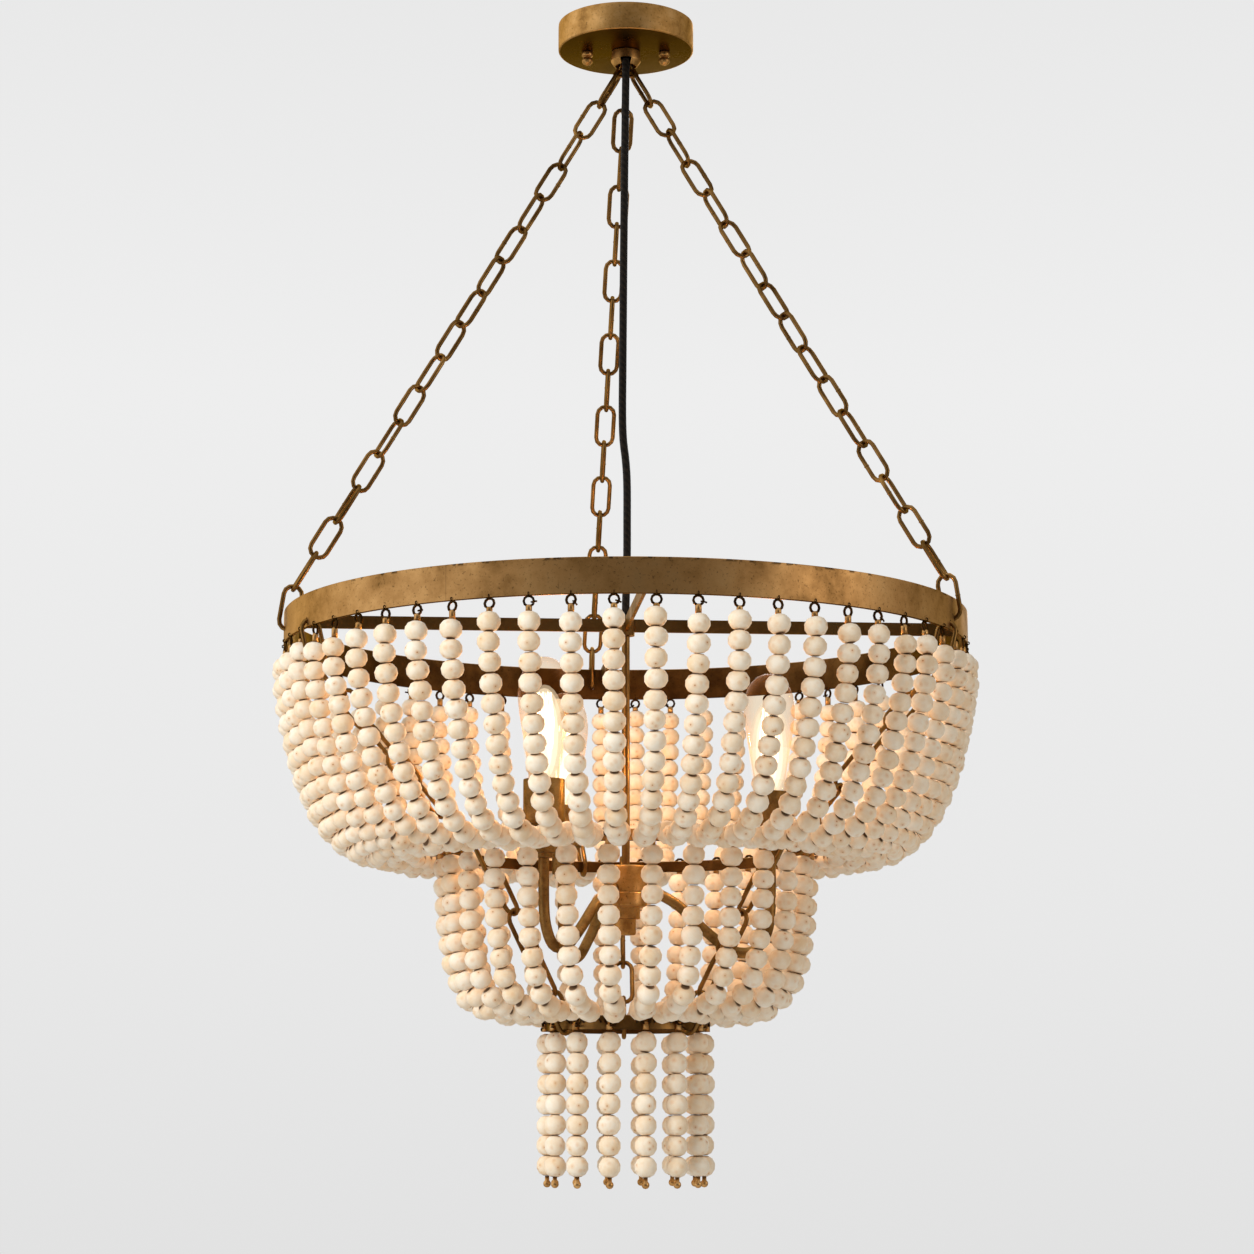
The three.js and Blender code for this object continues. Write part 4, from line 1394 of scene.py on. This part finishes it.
@dataclass
class Lamps:
    """The three arms, their holders and the clear lamps."""

    finishes: Finishes
    radius: float = 128.0
    count: int = 3
    turn: float = -3.0
    tube: float = 4.75
    cup_top: float = -715.0
    cup_height: float = 38.0
    arm_exit: float = 17.0
    arm_start: float = -798.2
    arm_fall: float = 59.0
    arm_top: float = -782.3
    hub_radius: float = 19.0
    seat_depth: float = 27.7
    cap_height: float = 24.0
    threads: int = 6
    thread_pitch: float = 3.0
    glass_radius: float = 23.0
    glass_above_cup: float = 106.0
    filament_strands: int = 8

    @property
    def seat(self) -> float:
        """The height of a lamp's foot in its holder."""
        return self.cup_top - self.seat_depth

    @property
    def glass_low(self) -> float:
        """The height of the glass's lower end, a gap above the cap."""
        return self.seat + (self.cap_height + GAP)

    def placed(self, bm: bmesh.types.BMesh, degrees: float, radius: float = 0.0) -> bmesh.types.BMesh:
        """Move a shape out along X and turn it round the column.

        Args:
            bm: The shape.
            degrees: The angle from +X.
            radius: How far out it goes.

        Returns:
            The same shape.
        """
        place = Matrix.Rotation(math.radians(degrees), 4, "Z") @ Matrix.Translation((radius, 0, 0))
        bmesh.ops.transform(bm, matrix=place, verts=bm.verts)
        return bm

    def arm(self, k: int, degrees: float) -> None:
        """Make one bent arm of round tube.

        Args:
            k: The lamp's number.
            degrees: Its angle from +X.
        """
        start, top = self.arm_start, self.arm_top
        low, reach = start - self.arm_fall, self.radius - self.arm_exit
        shares = [(0, 0), (0.1, 0.1), (0.26, 0.28), (0.5, 0.7), (0.7, 0.97), (0.86, 0.97), (0.97, 0.68)]
        points = [Vector((self.arm_exit + r * reach, 0, start + z * (low - start))) for r, z in shares]
        points += [Vector((self.radius, 0, top - 15)), Vector((self.radius, 0, top))]
        path = SmoothPath(points)
        share = (self.hub_radius + GAP - self.arm_exit) / path.length
        line = [path.at(share + (1 - share) * i / 40)[0] for i in range(41)]
        bm = self.placed(sweep(line, self.tube, 16), degrees)
        piece = crease_by_angle(object_from(f"lamp_arm_tube_{k}", bm, [self.finishes.shaded]), 50)
        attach(piece, "frame")
        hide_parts(f"lamp_arm_{k}")

    def cup(self, k: int, degrees: float) -> None:
        """Make one cup with its stand.

        Args:
            k: The lamp's number.
            degrees: Its angle from +X.
        """
        low, top = self.cup_top - self.cup_height, self.cup_top
        outline = rounded(
            [
                (0, low - 29), (7.5, low - 29), (7.5, low - 25), (10, low - 25), (10, low - 2.4),
                (12.4, low - 1.6), (12.4, low - 0.2), (16.6, low), (17.8, low + 1.6), (17.8, top),
                (16.4, top), (16.4, low + 3), (0, low + 3),
            ],
            0.7,
            2,
        )
        shell = self.placed(lathe(outline, 48), degrees, self.radius)
        cup = crease_by_angle(object_from(f"lamp_cup_shell_{k}", shell, [self.finishes.shaded]), 40)
        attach(cup, "frame")
        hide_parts(f"lamp_cup_{k}")

    def insert(self, k: int, degrees: float) -> None:
        """Make the dark sleeve inside one cup.

        Args:
            k: The lamp's number.
            degrees: Its angle from +X.
        """
        top, floor = self.cup_top - 1.5, self.cup_top - 30.5
        outline = [(0, floor), (16.1, floor), (16.1, top), (14.3, top), (14.3, floor + 2.5), (0, floor + 2.5)]
        sleeve = self.placed(lathe(rounded(outline, 0.5, 2), 40), degrees, self.radius)
        insert = object_from(f"lamp_insert_sleeve_{k}", sleeve, [self.finishes.holder])
        crease_by_angle(insert, 40)
        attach(insert, "frame")
        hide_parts(f"lamp_insert_{k}")

    def cap(self, k: int, degrees: float) -> None:
        """Make the screw cap of one lamp.

        Args:
            k: The lamp's number.
            degrees: Its angle from +X.
        """
        seat = self.seat
        outline = [(0, seat), (6, seat), (9.6, seat + 3.6)]
        for i in range(self.threads):
            z = seat + 5 + i * self.thread_pitch
            outline += [(12.1, z), (12.2, z + 0.9), (11.2, z + 1.6), (11.2, z + 2.2)]
        outline += [(12.2, seat + 23.4), (12.2, seat + self.cap_height), (0, seat + self.cap_height)]
        threaded = self.placed(lathe(outline, 32), degrees, self.radius)
        cap = crease_by_angle(object_from(f"lamp_cap_{k}", threaded, [self.finishes.lamp_cap]), 60)
        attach(cap, f"bulb_{k}")
        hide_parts(f"bulb_base_{k}")

    def glass(self, k: int, degrees: float) -> None:
        """Make the clear glass of one lamp.

        Args:
            k: The lamp's number.
            degrees: Its angle from +X.
        """
        top = self.cup_top + self.glass_above_cup
        fall = self.glass_low - top
        shares = [
            (0.0, 0.0), (0.22, 0.006), (0.45, 0.026), (0.66, 0.065), (0.83, 0.12), (0.95, 0.19),
            (1.0, 0.27), (0.99, 0.35), (0.94, 0.44), (0.865, 0.54), (0.78, 0.64), (0.70, 0.74),
            (0.63, 0.84), (0.585, 0.93), (0.575, 1.0),
        ]
        blown = lathe([(r * self.glass_radius, top + z * fall) for r, z in shares], 40)
        self.placed(blown, degrees, self.radius)
        glass = object_from(f"lamp_glass_{k}", blown, [self.finishes.glass])
        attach(glass, f"bulb_{k}")
        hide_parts(f"bulb_glass_{k}")

    def filament(self, k: int, degrees: float) -> None:
        """Make the stem press of one lamp and the filament that stands on it.

        Args:
            k: The lamp's number.
            degrees: Its angle from +X.
        """
        low = self.glass_low
        foot, head = low + 30, low + 78
        half = (foot + head) / 2
        inside = Gathered()
        outline = [(0, low + 1), (6.5, low + 1), (4.0, low + 16), (2.0, low + 30), (0, low + 31)]
        press = template(lathe(outline, 16), "press")
        inside.add(press, Matrix.Identity(4), 1)
        bpy.data.meshes.remove(press)
        for i in range(self.filament_strands):
            a, b = i * 45.0, i * 45.0 + 22.5
            line = [
                polar(7.0, a, foot), polar(8.4, a, half), polar(5.4, b, head),
                polar(8.4, b + 22.5, half), polar(7.0, b + 22.5, foot),
            ]
            strand = template(sweep(line, 0.45, 5), "filament_strand")
            inside.add(strand, Matrix.Identity(4), 0)
            bpy.data.meshes.remove(strand)
        inside.bm.normal_update()
        self.placed(inside.bm, degrees, self.radius)
        filament = inside.piece(f"lamp_filament_{k}", [self.finishes.filament, self.finishes.glass])
        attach(filament, f"bulb_{k}")

    def shells(self, k: int, degrees: float) -> None:
        """Make the shells of painted glow round one filament, each wider and fainter than the last, in place
        of its glare.

        Args:
            k: The lamp's number.
            degrees: Its angle from +X.
        """
        for name, wide, tall, finish in (
            ("core", 7.5, 33.0, self.finishes.core),
            ("glow", 12.0, 38.0, self.finishes.glow),
            ("haze", 15.5, 41.0, self.finishes.haze),
            ("halo", 18.5, 43.5, self.finishes.halo),
        ):
            bm = bmesh.new()
            bmesh.ops.create_uvsphere(bm, u_segments=24, v_segments=14, radius=1.0)
            bmesh.ops.scale(bm, vec=(wide, wide, tall), verts=bm.verts)
            bmesh.ops.translate(bm, vec=(0, 0, self.cup_top + 31 + tall / 6), verts=bm.verts)
            glow = object_from(f"lamp_{name}_{k}", self.placed(bm, degrees, self.radius), [finish])
            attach(glow, f"bulb_{k}")

    def build(self) -> None:
        """Make the arms, the holders and the lamps."""
        for k in range(1, self.count + 1):
            degrees = self.turn + (k - 1) * 360 / self.count
            for make in (self.arm, self.cup, self.insert, self.cap, self.glass, self.filament, self.shells):
                make(k, degrees)
        LOG.info("lamps: %d arms, holders and clear lamps", self.count)


# Beads


@dataclass
class Beadwork:
    """The strands of beads of all three tiers, with the wire that strings them."""

    finishes: Finishes
    rng: random.Random = field(default_factory=lambda: random.Random(7))
    bead_radius: float = 9.6
    ring_outer: float = 10.5
    ring_wire: float = 2.3
    swing_clearance: float = 1.5
    sets: int = 4
    bead_play: float = 0.22
    bead_tilt: float = 0.05
    # share of a bead's radius round its bore that gets the painted seam shade
    seam_shade_reach: float = 0.5
    pressed_beads: int = 4
    pressed_play: float = 4.0
    short_strand: int = 9
    ferrule_height: float = 6.6
    ferrule_shows: float = 2.6
    deep_hang: float = 8.0
    tail_chance: float = 0.45
    end_wire: float = 0.75
    loose_count: int = 14
    loose_beads: int = 7
    loose_pitch: float = 17.6
    loose_hang: float = 1.7

    def bead(self, pitch: float) -> bpy.types.Mesh:
        """Make one turned bead with its drilled ends eased.

        Args:
            pitch: The distance from bead to bead, which is a bead's height.

        Returns:
            The bead's shape, with its bore along Z.
        """
        half = pitch / 2
        profile = [
            (0.0, -0.975), (0.34, -0.99), (0.72, -0.775), (0.98, -0.29),
            (0.98, 0.29), (0.72, 0.775), (0.34, 0.99), (0.0, 0.975),
        ]
        outline = [(r * self.bead_radius, z * half) for r, z in profile]
        return template(lathe(outline, 12), "bead_shape")

    def jump_ring(self) -> bpy.types.Mesh:
        """Make the small ring that a strand hangs from.

        Returns:
            The ring's shape.
        """
        across = self.ring_outer - self.ring_wire
        return template(stadium_loop(across + 0.1, across, self.ring_wire, 6, 5), "jump_ring")

    def ferrule(self) -> bpy.types.Mesh:
        """Make the short brass tube between the ring and the first bead, standing on its foot.

        Returns:
            The tube's shape.
        """
        top = self.ferrule_height
        return template(lathe([(0, 0), (2.7, 0), (2.7, 5.6), (2.0, top), (0, top)], 8), "ferrule")

    def fittings(self) -> dict[str, bpy.types.Mesh]:
        """Make the small metal shapes that hang a strand.

        Returns:
            The shape of each, by its name.
        """
        stitch = template(stadium_loop(4.6, 2.6, 1.2, 5, 3), "stitch")
        line = [Vector((0, 0, 0)), Vector((0.8, 0, 2.6)), Vector((0.4, 0.5, 5.2))]
        tail = template(sweep(line, 0.8, 5), "tail")
        return {"ring": self.jump_ring(), "ferrule": self.ferrule(), "stitch": stitch, "tail": tail}

    def string(
        self,
        path: SmoothPath,
        count: int,
        place: Matrix,
        beads: Gathered,
        shape: bpy.types.Mesh,
        droop: float = 0.0,
    ) -> None:
        """Thread beads along a path.

        Args:
            path: The strand's middle line in its own plane.
            count: How many beads.
            place: Where the plane stands.
            beads: What gathers the beads.
            shape: The bead.
            droop: How far the strand has slid down from the path's start.
        """
        slid = droop / path.length
        for k in range(count):
            point, along = path.at(slid + (1 - slid) * (k + 0.5) / count)
            pressed = k >= count - self.pressed_beads and count >= self.short_strand
            play = self.bead_play * (self.pressed_play if pressed else 1.0)
            nudge = Vector([self.rng.gauss(0, play) for _ in range(3)])
            wobble = Vector([self.rng.gauss(0, self.bead_tilt) for _ in range(3)])
            turn = (along + wobble).normalized().to_track_quat("Z", "Y").to_matrix().to_4x4()
            spin = Matrix.Rotation(self.rng.uniform(0, 2 * math.pi), 4, "Z")
            wide = self.rng.uniform(0.965, 1.025)
            size = Matrix.Diagonal((wide, wide, self.rng.uniform(0.985, 1.0) * (1 - slid), 1))
            where = place @ Matrix.Translation(point + nudge) @ turn @ spin @ size
            beads.add(shape, where, 0, self.rng.random(), self.bead_radius * self.seam_shade_reach)

    def hook(
        self,
        metal: Gathered,
        shapes: dict[str, bpy.types.Mesh],
        place: Matrix,
        ring: Ring,
        first: float,
        droop: float = 0.0,
        sunk: float = 0.9,
    ) -> None:
        """Hang a strand: a stitch through the band, a jump ring, a ferrule and the tail of its wire.

        Args:
            metal: What gathers the metal.
            shapes: The stitch, the ring, the ferrule and the tail.
            place: Where the strand's plane stands.
            ring: The band that it hangs from.
            first: The height of the first bead's top, before any droop.
            droop: How far below that height the bead is.
            sunk: How far the ferrule's foot goes into the bead, or stays clear of it when negative.
        """
        below = ring.bottom - first > self.deep_hang
        radius = ring.mid_radius if below else ring.radius + 2.5
        swivel = Matrix.Rotation(self.rng.gauss(0, 0.12), 4, "Z")
        tilt = swivel @ Matrix.Rotation(self.rng.gauss(0, 0.1), 4, "Y")
        upright = Matrix(((0, 0, 1, 0), (1, 0, 0, 0), (0, 1, 0, 0), (0, 0, 0, 1)))
        middle = first + (5.6 if below else 10.2)
        sideways = self.rng.gauss(0, 0.4)
        where = place @ Matrix.Translation((radius, sideways, middle)) @ tilt @ upright
        metal.add(shapes["ring"], where, 0)
        foot = radius if below else radius - 1.2
        stretch = (self.ferrule_shows + droop + sunk) / self.ferrule_height if below else 1.0
        tall = Matrix.Diagonal((1, 1, stretch, 1))
        where = place @ Matrix.Translation((foot, sideways, first - droop - sunk)) @ tall
        metal.add(shapes["ferrule"], where, 1)
        edge = ring.bottom + 1.4 if below else min(middle + 4.0, ring.top - 2.2)
        stitch = Matrix.Translation((ring.radius - 1.0, sideways, edge)) @ Matrix.Diagonal((1, 0.75, 1, 1))
        metal.add(shapes["stitch"], place @ stitch @ upright.inverted(), 0)
        if self.rng.random() < self.tail_chance:
            tail = Matrix.Translation((radius + 0.9, 1.6, first + 4.6))
            lean = Matrix.Rotation(-self.rng.uniform(1.3, 2.3), 4, "X")
            metal.add(shapes["tail"], place @ tail @ lean, 0)

    def tier(
        self,
        name: str,
        upper: Ring,
        lower: Ring,
        count: int,
        beads_each: int,
        first: float,
        hang: float,
        slack: float,
        shares: Sequence[tuple[float, float]],
    ) -> None:
        """Make one tied tier in its sets.

        Args:
            name: The tier's name, which its nodes have too.
            upper: The ring that it hangs from.
            lower: The ring that it is tied to.
            count: How many strands.
            beads_each: How many beads a strand has.
            first: The first strand's angle.
            hang: How far below the band the first bead's top is.
            slack: How far at most a strand has slid down from there.
            shares: The path, as shares of the way between the rings.
        """
        reach, fall = upper.mid_radius - lower.mid_radius, upper.bottom - lower.bottom
        places = [(1.0, hang / fall), *shares]
        points = [Vector((lower.mid_radius + r * reach, 0, upper.bottom - z * fall)) for r, z in places]
        path = SmoothPath(points)
        shape = self.bead(path.length / beads_each)
        shapes = self.fittings()
        per_set = count // self.sets
        for k in range(self.sets):
            beads, metal = Gathered(), Gathered()
            for s in range(per_set):
                degrees = first + (k * per_set + s) * 360 / count
                place = Matrix.Rotation(math.radians(degrees), 4, "Z")
                droop = self.rng.uniform(0, slack)
                self.string(path, beads_each, place, beads, shape, droop)
                self.hook(metal, shapes, place, upper, points[0].z, droop)
                end, along = path.at(1.0)
                target = Vector((lower.radius + GAP, 0, lower.mid_height))
                middle = end.lerp(target, 0.5) + Vector((0, 0, 0.8))
                line = [end - along * 2, middle, target]
                wire = template(sweep(line, self.end_wire, 5), "end_wire")
                metal.add(wire, place, 0)
                bpy.data.meshes.remove(wire)
            strung = beads.piece(f"{name}_beads_{k + 1}", [self.finishes.bead])
            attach(strung, "frame")
            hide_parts(f"{name}_strands_{k + 1}")
            fittings = metal.piece(f"{name}_rings_{k + 1}", [self.finishes.wire, self.finishes.ferrule])
            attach(fittings, "frame")
        for mesh in (shape, *shapes.values()):
            bpy.data.meshes.remove(mesh)
        LOG.info("%s tier: %d strands of %d beads", name, count, beads_each)

    def loose(self) -> None:
        """Make the strands that hang free below the lower ring, each with its brass drop."""
        count, beads_each = self.loose_count, self.loose_beads
        first = MIDDLE_FIRST - 180 / MIDDLE_COUNT
        top = LOWER.bottom - self.loose_hang
        foot = Vector((LOWER.mid_radius, 0, top - beads_each * self.loose_pitch))
        path = SmoothPath([Vector((LOWER.mid_radius, 0, top)), foot])
        shape = self.bead(self.loose_pitch)
        outline = [
            (0, -9.6), (1.8, -9.1), (3.0, -7.8), (3.4, -6.2), (3.0, -4.6), (1.9, -3.4), (1.9, 0.4), (0, 0.4),
        ]
        drop = template(lathe(outline, 14), "drop")
        shapes = self.fittings()
        hung = Gathered()
        for k in range(count):
            place = Matrix.Rotation(math.radians(first + k * 360 / count), 4, "Z")
            body = f"loose_strand_{k + 1:02d}"
            beads, metal = Gathered(), Gathered()
            self.string(path, beads_each, place, beads, shape)
            self.hook(hung, shapes, place, LOWER, top, sunk=-self.swing_clearance)
            metal.add(drop, place @ Matrix.Translation(foot), 0)
            strung = beads.piece(f"loose_beads_{k + 1:02d}", [self.finishes.bead])
            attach(strung, body)
            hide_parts(body)
            brass_drop = metal.piece(f"loose_drop_{k + 1:02d}", [self.finishes.ferrule])
            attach(brass_drop, body)
        fittings = hung.piece("loose_rings", [self.finishes.wire, self.finishes.ferrule])
        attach(fittings, "frame")
        for mesh in (shape, drop, *shapes.values()):
            bpy.data.meshes.remove(mesh)
        LOG.info("loose tier: %d strands of %d beads", count, beads_each)

    def build(self) -> None:
        """Make all three tiers."""
        upper_shares = [
            (1.0106, 0.171), (0.986, 0.307), (0.937, 0.481), (0.87, 0.649), (0.775, 0.807),
            (0.637, 0.932), (0.468, 0.992), (0.313, 0.997), (0.137, 0.97),
        ]
        middle_shares = [
            (0.998, 0.147), (0.982, 0.31), (0.952, 0.48), (0.898, 0.644), (0.806, 0.775),
            (0.661, 0.859), (0.468, 0.895), (0.306, 0.902), (0.156, 0.905),
        ]
        upper_first = MIDDLE_FIRST + 90 / MIDDLE_COUNT
        self.tier(
            "upper", UPPER, MIDDLE,
            count=56, beads_each=15, first=upper_first, hang=10.0, slack=6.0, shares=upper_shares,
        )
        self.tier(
            "middle", MIDDLE, LOWER,
            count=MIDDLE_COUNT, beads_each=11, first=MIDDLE_FIRST, hang=2.0, slack=0.8, shares=middle_shares,
        )
        self.loose()


# The flex


@dataclass
class Flex:
    """The black flex from the collar down to the middle of the cross straps."""

    finishes: Finishes
    diameter: float = 7.0
    steps: int = 70
    route: Sequence[tuple[float, float, float]] = (
        (0, -9.6, -36), (0, -10.6, -41), (0, -12.2, -48), (0, -12.6, -56), (-0.2, -12, -68),
        (-0.5, -10.5, -95), (-1, -8.5, -130), (-1.5, -6.8, -180), (-2, -5.4, -230),
        (-2.4, -4.2, -280), (-2.8, -3.4, -330),
        (-3, -3, -375), (-2.2, -2.4, -395), (-0.2, -1.6, -412), (1, -1, -430), (1.2, -0.6, -470),
        (1.1, -0.3, -501), (0.4, 0, -530), (0, 0, -548), (0, 0, -558.2),
    )

    def build(self) -> None:
        """Lay the flex and say what it is."""
        path = SmoothPath([Vector(p) for p in self.route])
        data = bpy.data.curves.new("supply_flex", "CURVE")
        data.dimensions = "3D"
        data.bevel_depth = self.diameter / 2 * MM
        data.bevel_resolution = 4
        data.use_fill_caps = True
        line = [path.at(k / self.steps)[0] * MM for k in range(self.steps + 1)]
        spline = data.splines.new("POLY")
        spline.points.add(len(line) - 1)
        for point, place in zip(spline.points, line):
            point.co = (*place, 1)
        spline.use_smooth = True
        data.materials.append(self.finishes.sleeve)
        piece = bpy.data.objects.new("supply_flex", data)
        bpy.context.scene.collection.objects.link(piece)
        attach(piece, "frame")
        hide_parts("supply_cord")
        LOG.info("flex: %.0f mm from the collar to the straps", path.length)


# The room


@dataclass
class Studio:
    """The camera, the soft lamps, the pale surroundings and the floor."""

    pitch: float = 9.4
    distance: float = 2650.0
    height: float = -1004.0
    offset: float = 1.1
    focal_px: float = 2992.0
    frame_px: float = 1254.0
    fill: float = 0.42
    dark_front: float = 0.08
    dim_right: float = 0.5
    bright_left: float = 1.3
    dark_low: float = 0.4
    floor_radius: float = 3000.0
    floor_height: float = -2300.0
    lit_power: float = 2.0
    lit_height: float = -672.0
    lit_size: float = 12.0

    def camera(self) -> None:
        """Set the camera where the photograph was taken from."""
        data = bpy.data.cameras.new("camera")
        data.sensor_width = 36.0
        data.lens = self.focal_px / self.frame_px * data.sensor_width
        data.clip_end = 60
        camera = bpy.data.objects.new("camera", data)
        camera.location = (self.offset * MM, -self.distance * MM, self.height * MM)
        camera.rotation_euler = (math.radians(90 + self.pitch), 0, 0)
        bpy.context.scene.collection.objects.link(camera)
        bpy.context.scene.camera = camera

    def lamp(
        self,
        name: str,
        place: Vector,
        target: Vector,
        size: float,
        power: float,
        colour: str,
        mirrored: bool = True,
    ) -> None:
        """Add one soft lamp.

        Args:
            name: The lamp's name.
            place: Where it stands, in metres.
            target: What it looks at, in metres.
            size: Its width, in metres.
            power: Its power, in watts.
            colour: Its colour, as an sRGB hex value.
            mirrored: Whether metal and glass show it.
        """
        data = bpy.data.lights.new(name, "AREA")
        data.shape = "SQUARE"
        data.size = size
        data.energy = power
        data.color = srgb(colour)[:3]
        lamp = bpy.data.objects.new(name, data)
        lamp.location = place
        lamp.rotation_euler = (target - place).to_track_quat("-Z", "Y").to_euler()
        lamp.visible_glossy = mirrored
        bpy.context.scene.collection.objects.link(lamp)

    def glow(self, place: Vector, body: bpy.types.Object) -> None:
        """Add the warm light of one lit lamp of the chandelier.

        Args:
            place: The middle of its filament, in metres.
            body: The body that it moves with.
        """
        data = bpy.data.lights.new("lit_lamp", "POINT")
        data.energy = self.lit_power
        data.shadow_soft_size = self.lit_size * MM
        data.color = srgb("#ffc892")[:3]
        lamp = bpy.data.objects.new("lit_lamp", data)
        lamp.location = place
        lamp.parent = body
        bpy.context.scene.collection.objects.link(lamp)

    def reflected(self, tree: bpy.types.NodeTree, where: bpy.types.Node) -> bpy.types.NodeSocket:
        """Return how bright the room is in each direction, as metal and glass see it.

        The backdrop and the left are bright, the right is dimmer, and in front and below the room is dark.

        Args:
            tree: The world's tree.
            where: The node that gives the direction's X, Y and Z.

        Returns:
            The brightness from 0 to 1.
        """
        x, y, z = where.outputs
        around = add_node(
            tree, "ShaderNodeMapRange", SMOOTH, i0=y, i1=-0.99, i2=-0.58, i3=self.dark_front, i4=1.0
        ).outputs[0]
        above = add_node(
            tree, "ShaderNodeMapRange", SMOOTH, i0=z, i1=0.2, i2=0.55, i3=0.0, i4=0.62
        ).outputs[0]
        across = add_node(
            tree, "ShaderNodeMapRange", SMOOTH, i0=x, i1=0.1, i2=0.85, i3=1.0, i4=self.dim_right
        ).outputs[0]
        left = add_node(
            tree, "ShaderNodeMapRange", SMOOTH, i0=x, i1=-0.9, i2=-0.3, i3=self.bright_left, i4=1.0
        ).outputs[0]
        low = add_node(
            tree, "ShaderNodeMapRange", SMOOTH, i0=z, i1=-0.4, i2=-0.08, i3=self.dark_low, i4=1.0
        ).outputs[0]
        level = add_node(tree, "ShaderNodeMath", {"operation": "MAXIMUM"}, i0=around, i1=above).outputs[0]
        sides = add_node(tree, "ShaderNodeMath", {"operation": "MULTIPLY"}, i0=across, i1=left).outputs[0]
        lit = add_node(tree, "ShaderNodeMath", {"operation": "MULTIPLY"}, i0=level, i1=sides).outputs[0]
        return add_node(tree, "ShaderNodeMath", {"operation": "MULTIPLY"}, i0=lit, i1=low).outputs[0]

    def world(self) -> None:
        """Light the room evenly, and show the pale backdrop to the camera and in reflections."""
        world = bpy.data.worlds.new("room")
        bpy.context.scene.world = world
        world.use_nodes = True
        tree = world.node_tree
        tree.nodes.clear()
        direction = add_node(tree, "ShaderNodeTexCoord").outputs["Generated"]
        where = add_node(tree, "ShaderNodeSeparateXYZ", Vector=direction)
        rays = add_node(tree, "ShaderNodeLightPath")
        seen = add_node(
            tree, "ShaderNodeMath", {"operation": "MAXIMUM"},
            i0=rays.outputs["Is Camera Ray"], i1=rays.outputs["Is Transmission Ray"],
        ).outputs[0]
        height = add_node(
            tree, "ShaderNodeMapRange", i0=where.outputs[2], i1=-1.0, i2=1.0, i3=0.0, i4=1.0
        ).outputs[0]
        shades = [
            (0.47, srgb("#e1e1e1")), (0.53, srgb("#e8e8e8")),
            (0.62, srgb("#eeeeee")), (0.69, srgb("#e8e8e8")),
        ]
        backdrop = add_node(tree, "ShaderNodeValToRGB", stops=shades, Fac=height).outputs["Color"]
        wall = add_node(tree, "ShaderNodeBackground", Color=backdrop, Strength=1.0)
        brightness = self.reflected(tree, where)
        mirrored = add_node(tree, "ShaderNodeBackground", Color=srgb("#f0efee"), Strength=brightness)
        fill = add_node(tree, "ShaderNodeBackground", Color=srgb("#f5eee4"), Strength=self.fill)
        shiny = rays.outputs["Is Glossy Ray"]
        both = add_node(
            tree, "ShaderNodeMixShader", i0=shiny, i1=fill.outputs[0], i2=mirrored.outputs[0]
        ).outputs[0]
        room = add_node(tree, "ShaderNodeMixShader", i0=seen, i1=both, i2=wall.outputs[0])
        out = add_node(tree, "ShaderNodeOutputWorld")
        tree.links.new(room.outputs[0], out.inputs["Surface"])

    def floor(self) -> None:
        """Lay the pale floor far below."""
        bm = bmesh.new()
        place = Matrix.Translation((0, 0, self.floor_height))
        bmesh.ops.create_circle(bm, cap_ends=True, radius=self.floor_radius, segments=64, matrix=place)
        object_from("floor", bm, [Distemper("distemper").build()])

    def build(self, bodies: dict[str, bpy.types.Object]) -> None:
        """Set up the room, with the light of each lit lamp on its body.

        Args:
            bodies: The object that stands for each body, by its name.
        """
        self.camera()
        self.world()
        self.floor()
        middle = Vector((0, 0, -0.72))
        self.lamp("key", Vector((-2.2, -2.0, 0.5)), middle, 2.0, 84, "#ffffff", mirrored=False)
        self.lamp("side", Vector((2.4, -1.2, -0.4)), middle, 1.0, 9, "#fff1e2")
        self.lamp("rim", Vector((0.6, 2.4, 0.4)), middle, 1.4, 16, "#ffffff")
        for k in range(Lamps.count):
            degrees = Lamps.turn + k * 360 / Lamps.count
            self.glow(polar(Lamps.radius, degrees, self.lit_height) * MM, bodies[f"bulb_{k + 1}"])
        bpy.context.scene.view_settings.view_transform = "Standard"
        LOG.info("room: camera, lamps, wall and floor")


def main() -> None:
    """Build the chandelier on its frame."""
    bpy.ops.wm.read_factory_settings(use_empty=True)
    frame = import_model()
    nodes = frame["nodes"]
    Studio().build(frame["bodies"])
    finishes = Finishes()
    Flex(finishes).build()
    Canopy(finishes).build(nodes)
    Chains(finishes).build()
    Bands(finishes).build(nodes)
    Lamps(finishes).build()
    Beadwork(finishes).build()


if __name__ == "__main__":
    main()
